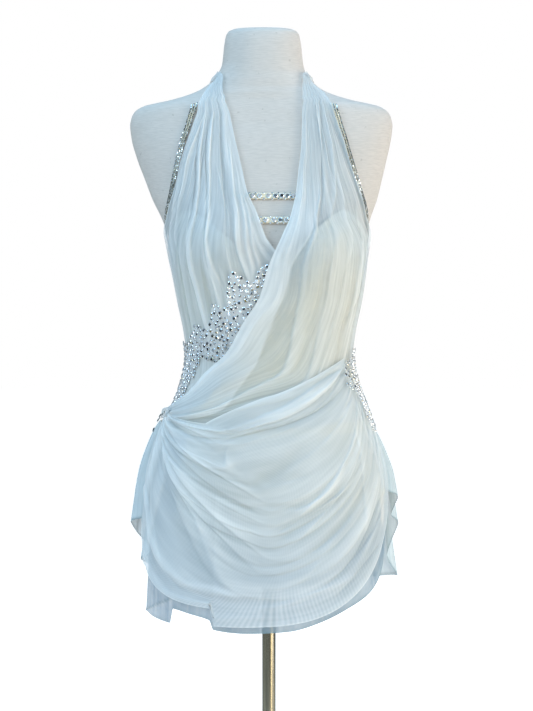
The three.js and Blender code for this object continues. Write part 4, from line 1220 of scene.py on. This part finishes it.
def makeFloor():
    # a pale square floor, far wider than the view
    half, z = 9, -0.0004
    corners = [(-half, -half, z), (half, -half, z), (half, half, z), (-half, half, z)]
    material, tree, shader = newMaterial("floorWhite")
    place = tree.nodes.new("ShaderNodeTexCoord").outputs["Object"]
    colour = addMix(tree, addNoise(tree, place, 0.8, 2.0), linearColour("#fbfbfb"), linearColour("#ffffff"))
    tree.links.new(colour, shader.inputs["Base Color"])
    shader.inputs["Roughness"].default_value = 0.9
    shader.inputs["Specular IOR Level"].default_value = 0.1
    shader.inputs["Emission Color"].default_value = (1, 1, 1, 1)
    seen = tree.nodes.new("ShaderNodeLightPath").outputs["Is Camera Ray"]
    tree.links.new(addMath(tree, "MULTIPLY", seen, 0.75), shader.inputs["Emission Strength"])
    mesh = bpy.data.meshes.new("studio_floor")
    mesh.from_pydata(corners, [], [[0, 1, 2, 3]])
    mesh.materials.append(material)
    floor = bpy.data.objects.new("studio_floor", mesh)
    bpy.context.collection.objects.link(floor)


# name: place, aim, width, height, power in watts, colour
lamps = {
    "rightWindow": ((2.8, -1.2, 1.6), (0, 0, 1.2), 1.4, 2.8, 62, (1.0, 0.93, 0.86)),
    "rightLow": ((1.7, -1.9, 0.35), (0, 0, 0.45), 0.5, 0.7, 9, (1.0, 0.88, 0.62)),
    "leftSky": ((-1.9, -1.4, 2.4), (0, 0, 1.1), 1.6, 1.6, 38, (0.64, 0.83, 1.0)),
    "topSky": ((0, -0.6, 3.1), (0, 0, 1.3), 2.0, 2.0, 32, (0.38, 0.69, 1.0)),
    "backFill": ((0.8, 2.6, 1.9), (0, 0, 1.1), 1.6, 1.6, 18, (1.0, 0.98, 0.95)),
}


def addLamps():
    # each lamp is a rectangle turned from its place towards its aim
    for name, (place, aim, width, height, power, colour) in lamps.items():
        data = bpy.data.lights.new(name, "AREA")
        data.shape = "RECTANGLE"
        data.size, data.size_y, data.energy, data.color = width, height, power, colour
        lamp = bpy.data.objects.new(name, data)
        lamp.location = place
        towards = np.array(aim) - np.array(place)
        flat = math.hypot(towards[0], towards[1])
        turn = math.atan2(towards[1], towards[0]) - math.pi / 2
        lamp.rotation_euler = (math.atan2(flat, -towards[2]), 0, turn)
        bpy.context.collection.objects.link(lamp)


sky = {"colour": (0.78, 0.90, 1.0, 1), "strength": 0.34}


def addSky():
    # white where the camera sees it, a pale blue light for everything else
    world = bpy.data.worlds.new("studioWhite")
    bpy.context.scene.world = world
    world.use_nodes = True
    tree = world.node_tree
    tree.nodes.clear()
    end = tree.nodes.new("ShaderNodeOutputWorld")
    seen = addNode(tree, "ShaderNodeBackground", Color=(1, 1, 1, 1), Strength=1.0)
    around = addNode(tree, "ShaderNodeBackground", Color=sky["colour"], Strength=sky["strength"])
    choose = tree.nodes.new("ShaderNodeMixShader")
    tree.links.new(tree.nodes.new("ShaderNodeLightPath").outputs["Is Camera Ray"], choose.inputs[0])
    tree.links.new(around.outputs[0], choose.inputs[1])
    tree.links.new(seen.outputs[0], choose.inputs[2])
    tree.links.new(choose.outputs[0], end.inputs[0])
    bpy.context.scene.view_settings.view_transform = "Standard"


makeFloor()
addLamps()
addSky()
print("floor and light ready")
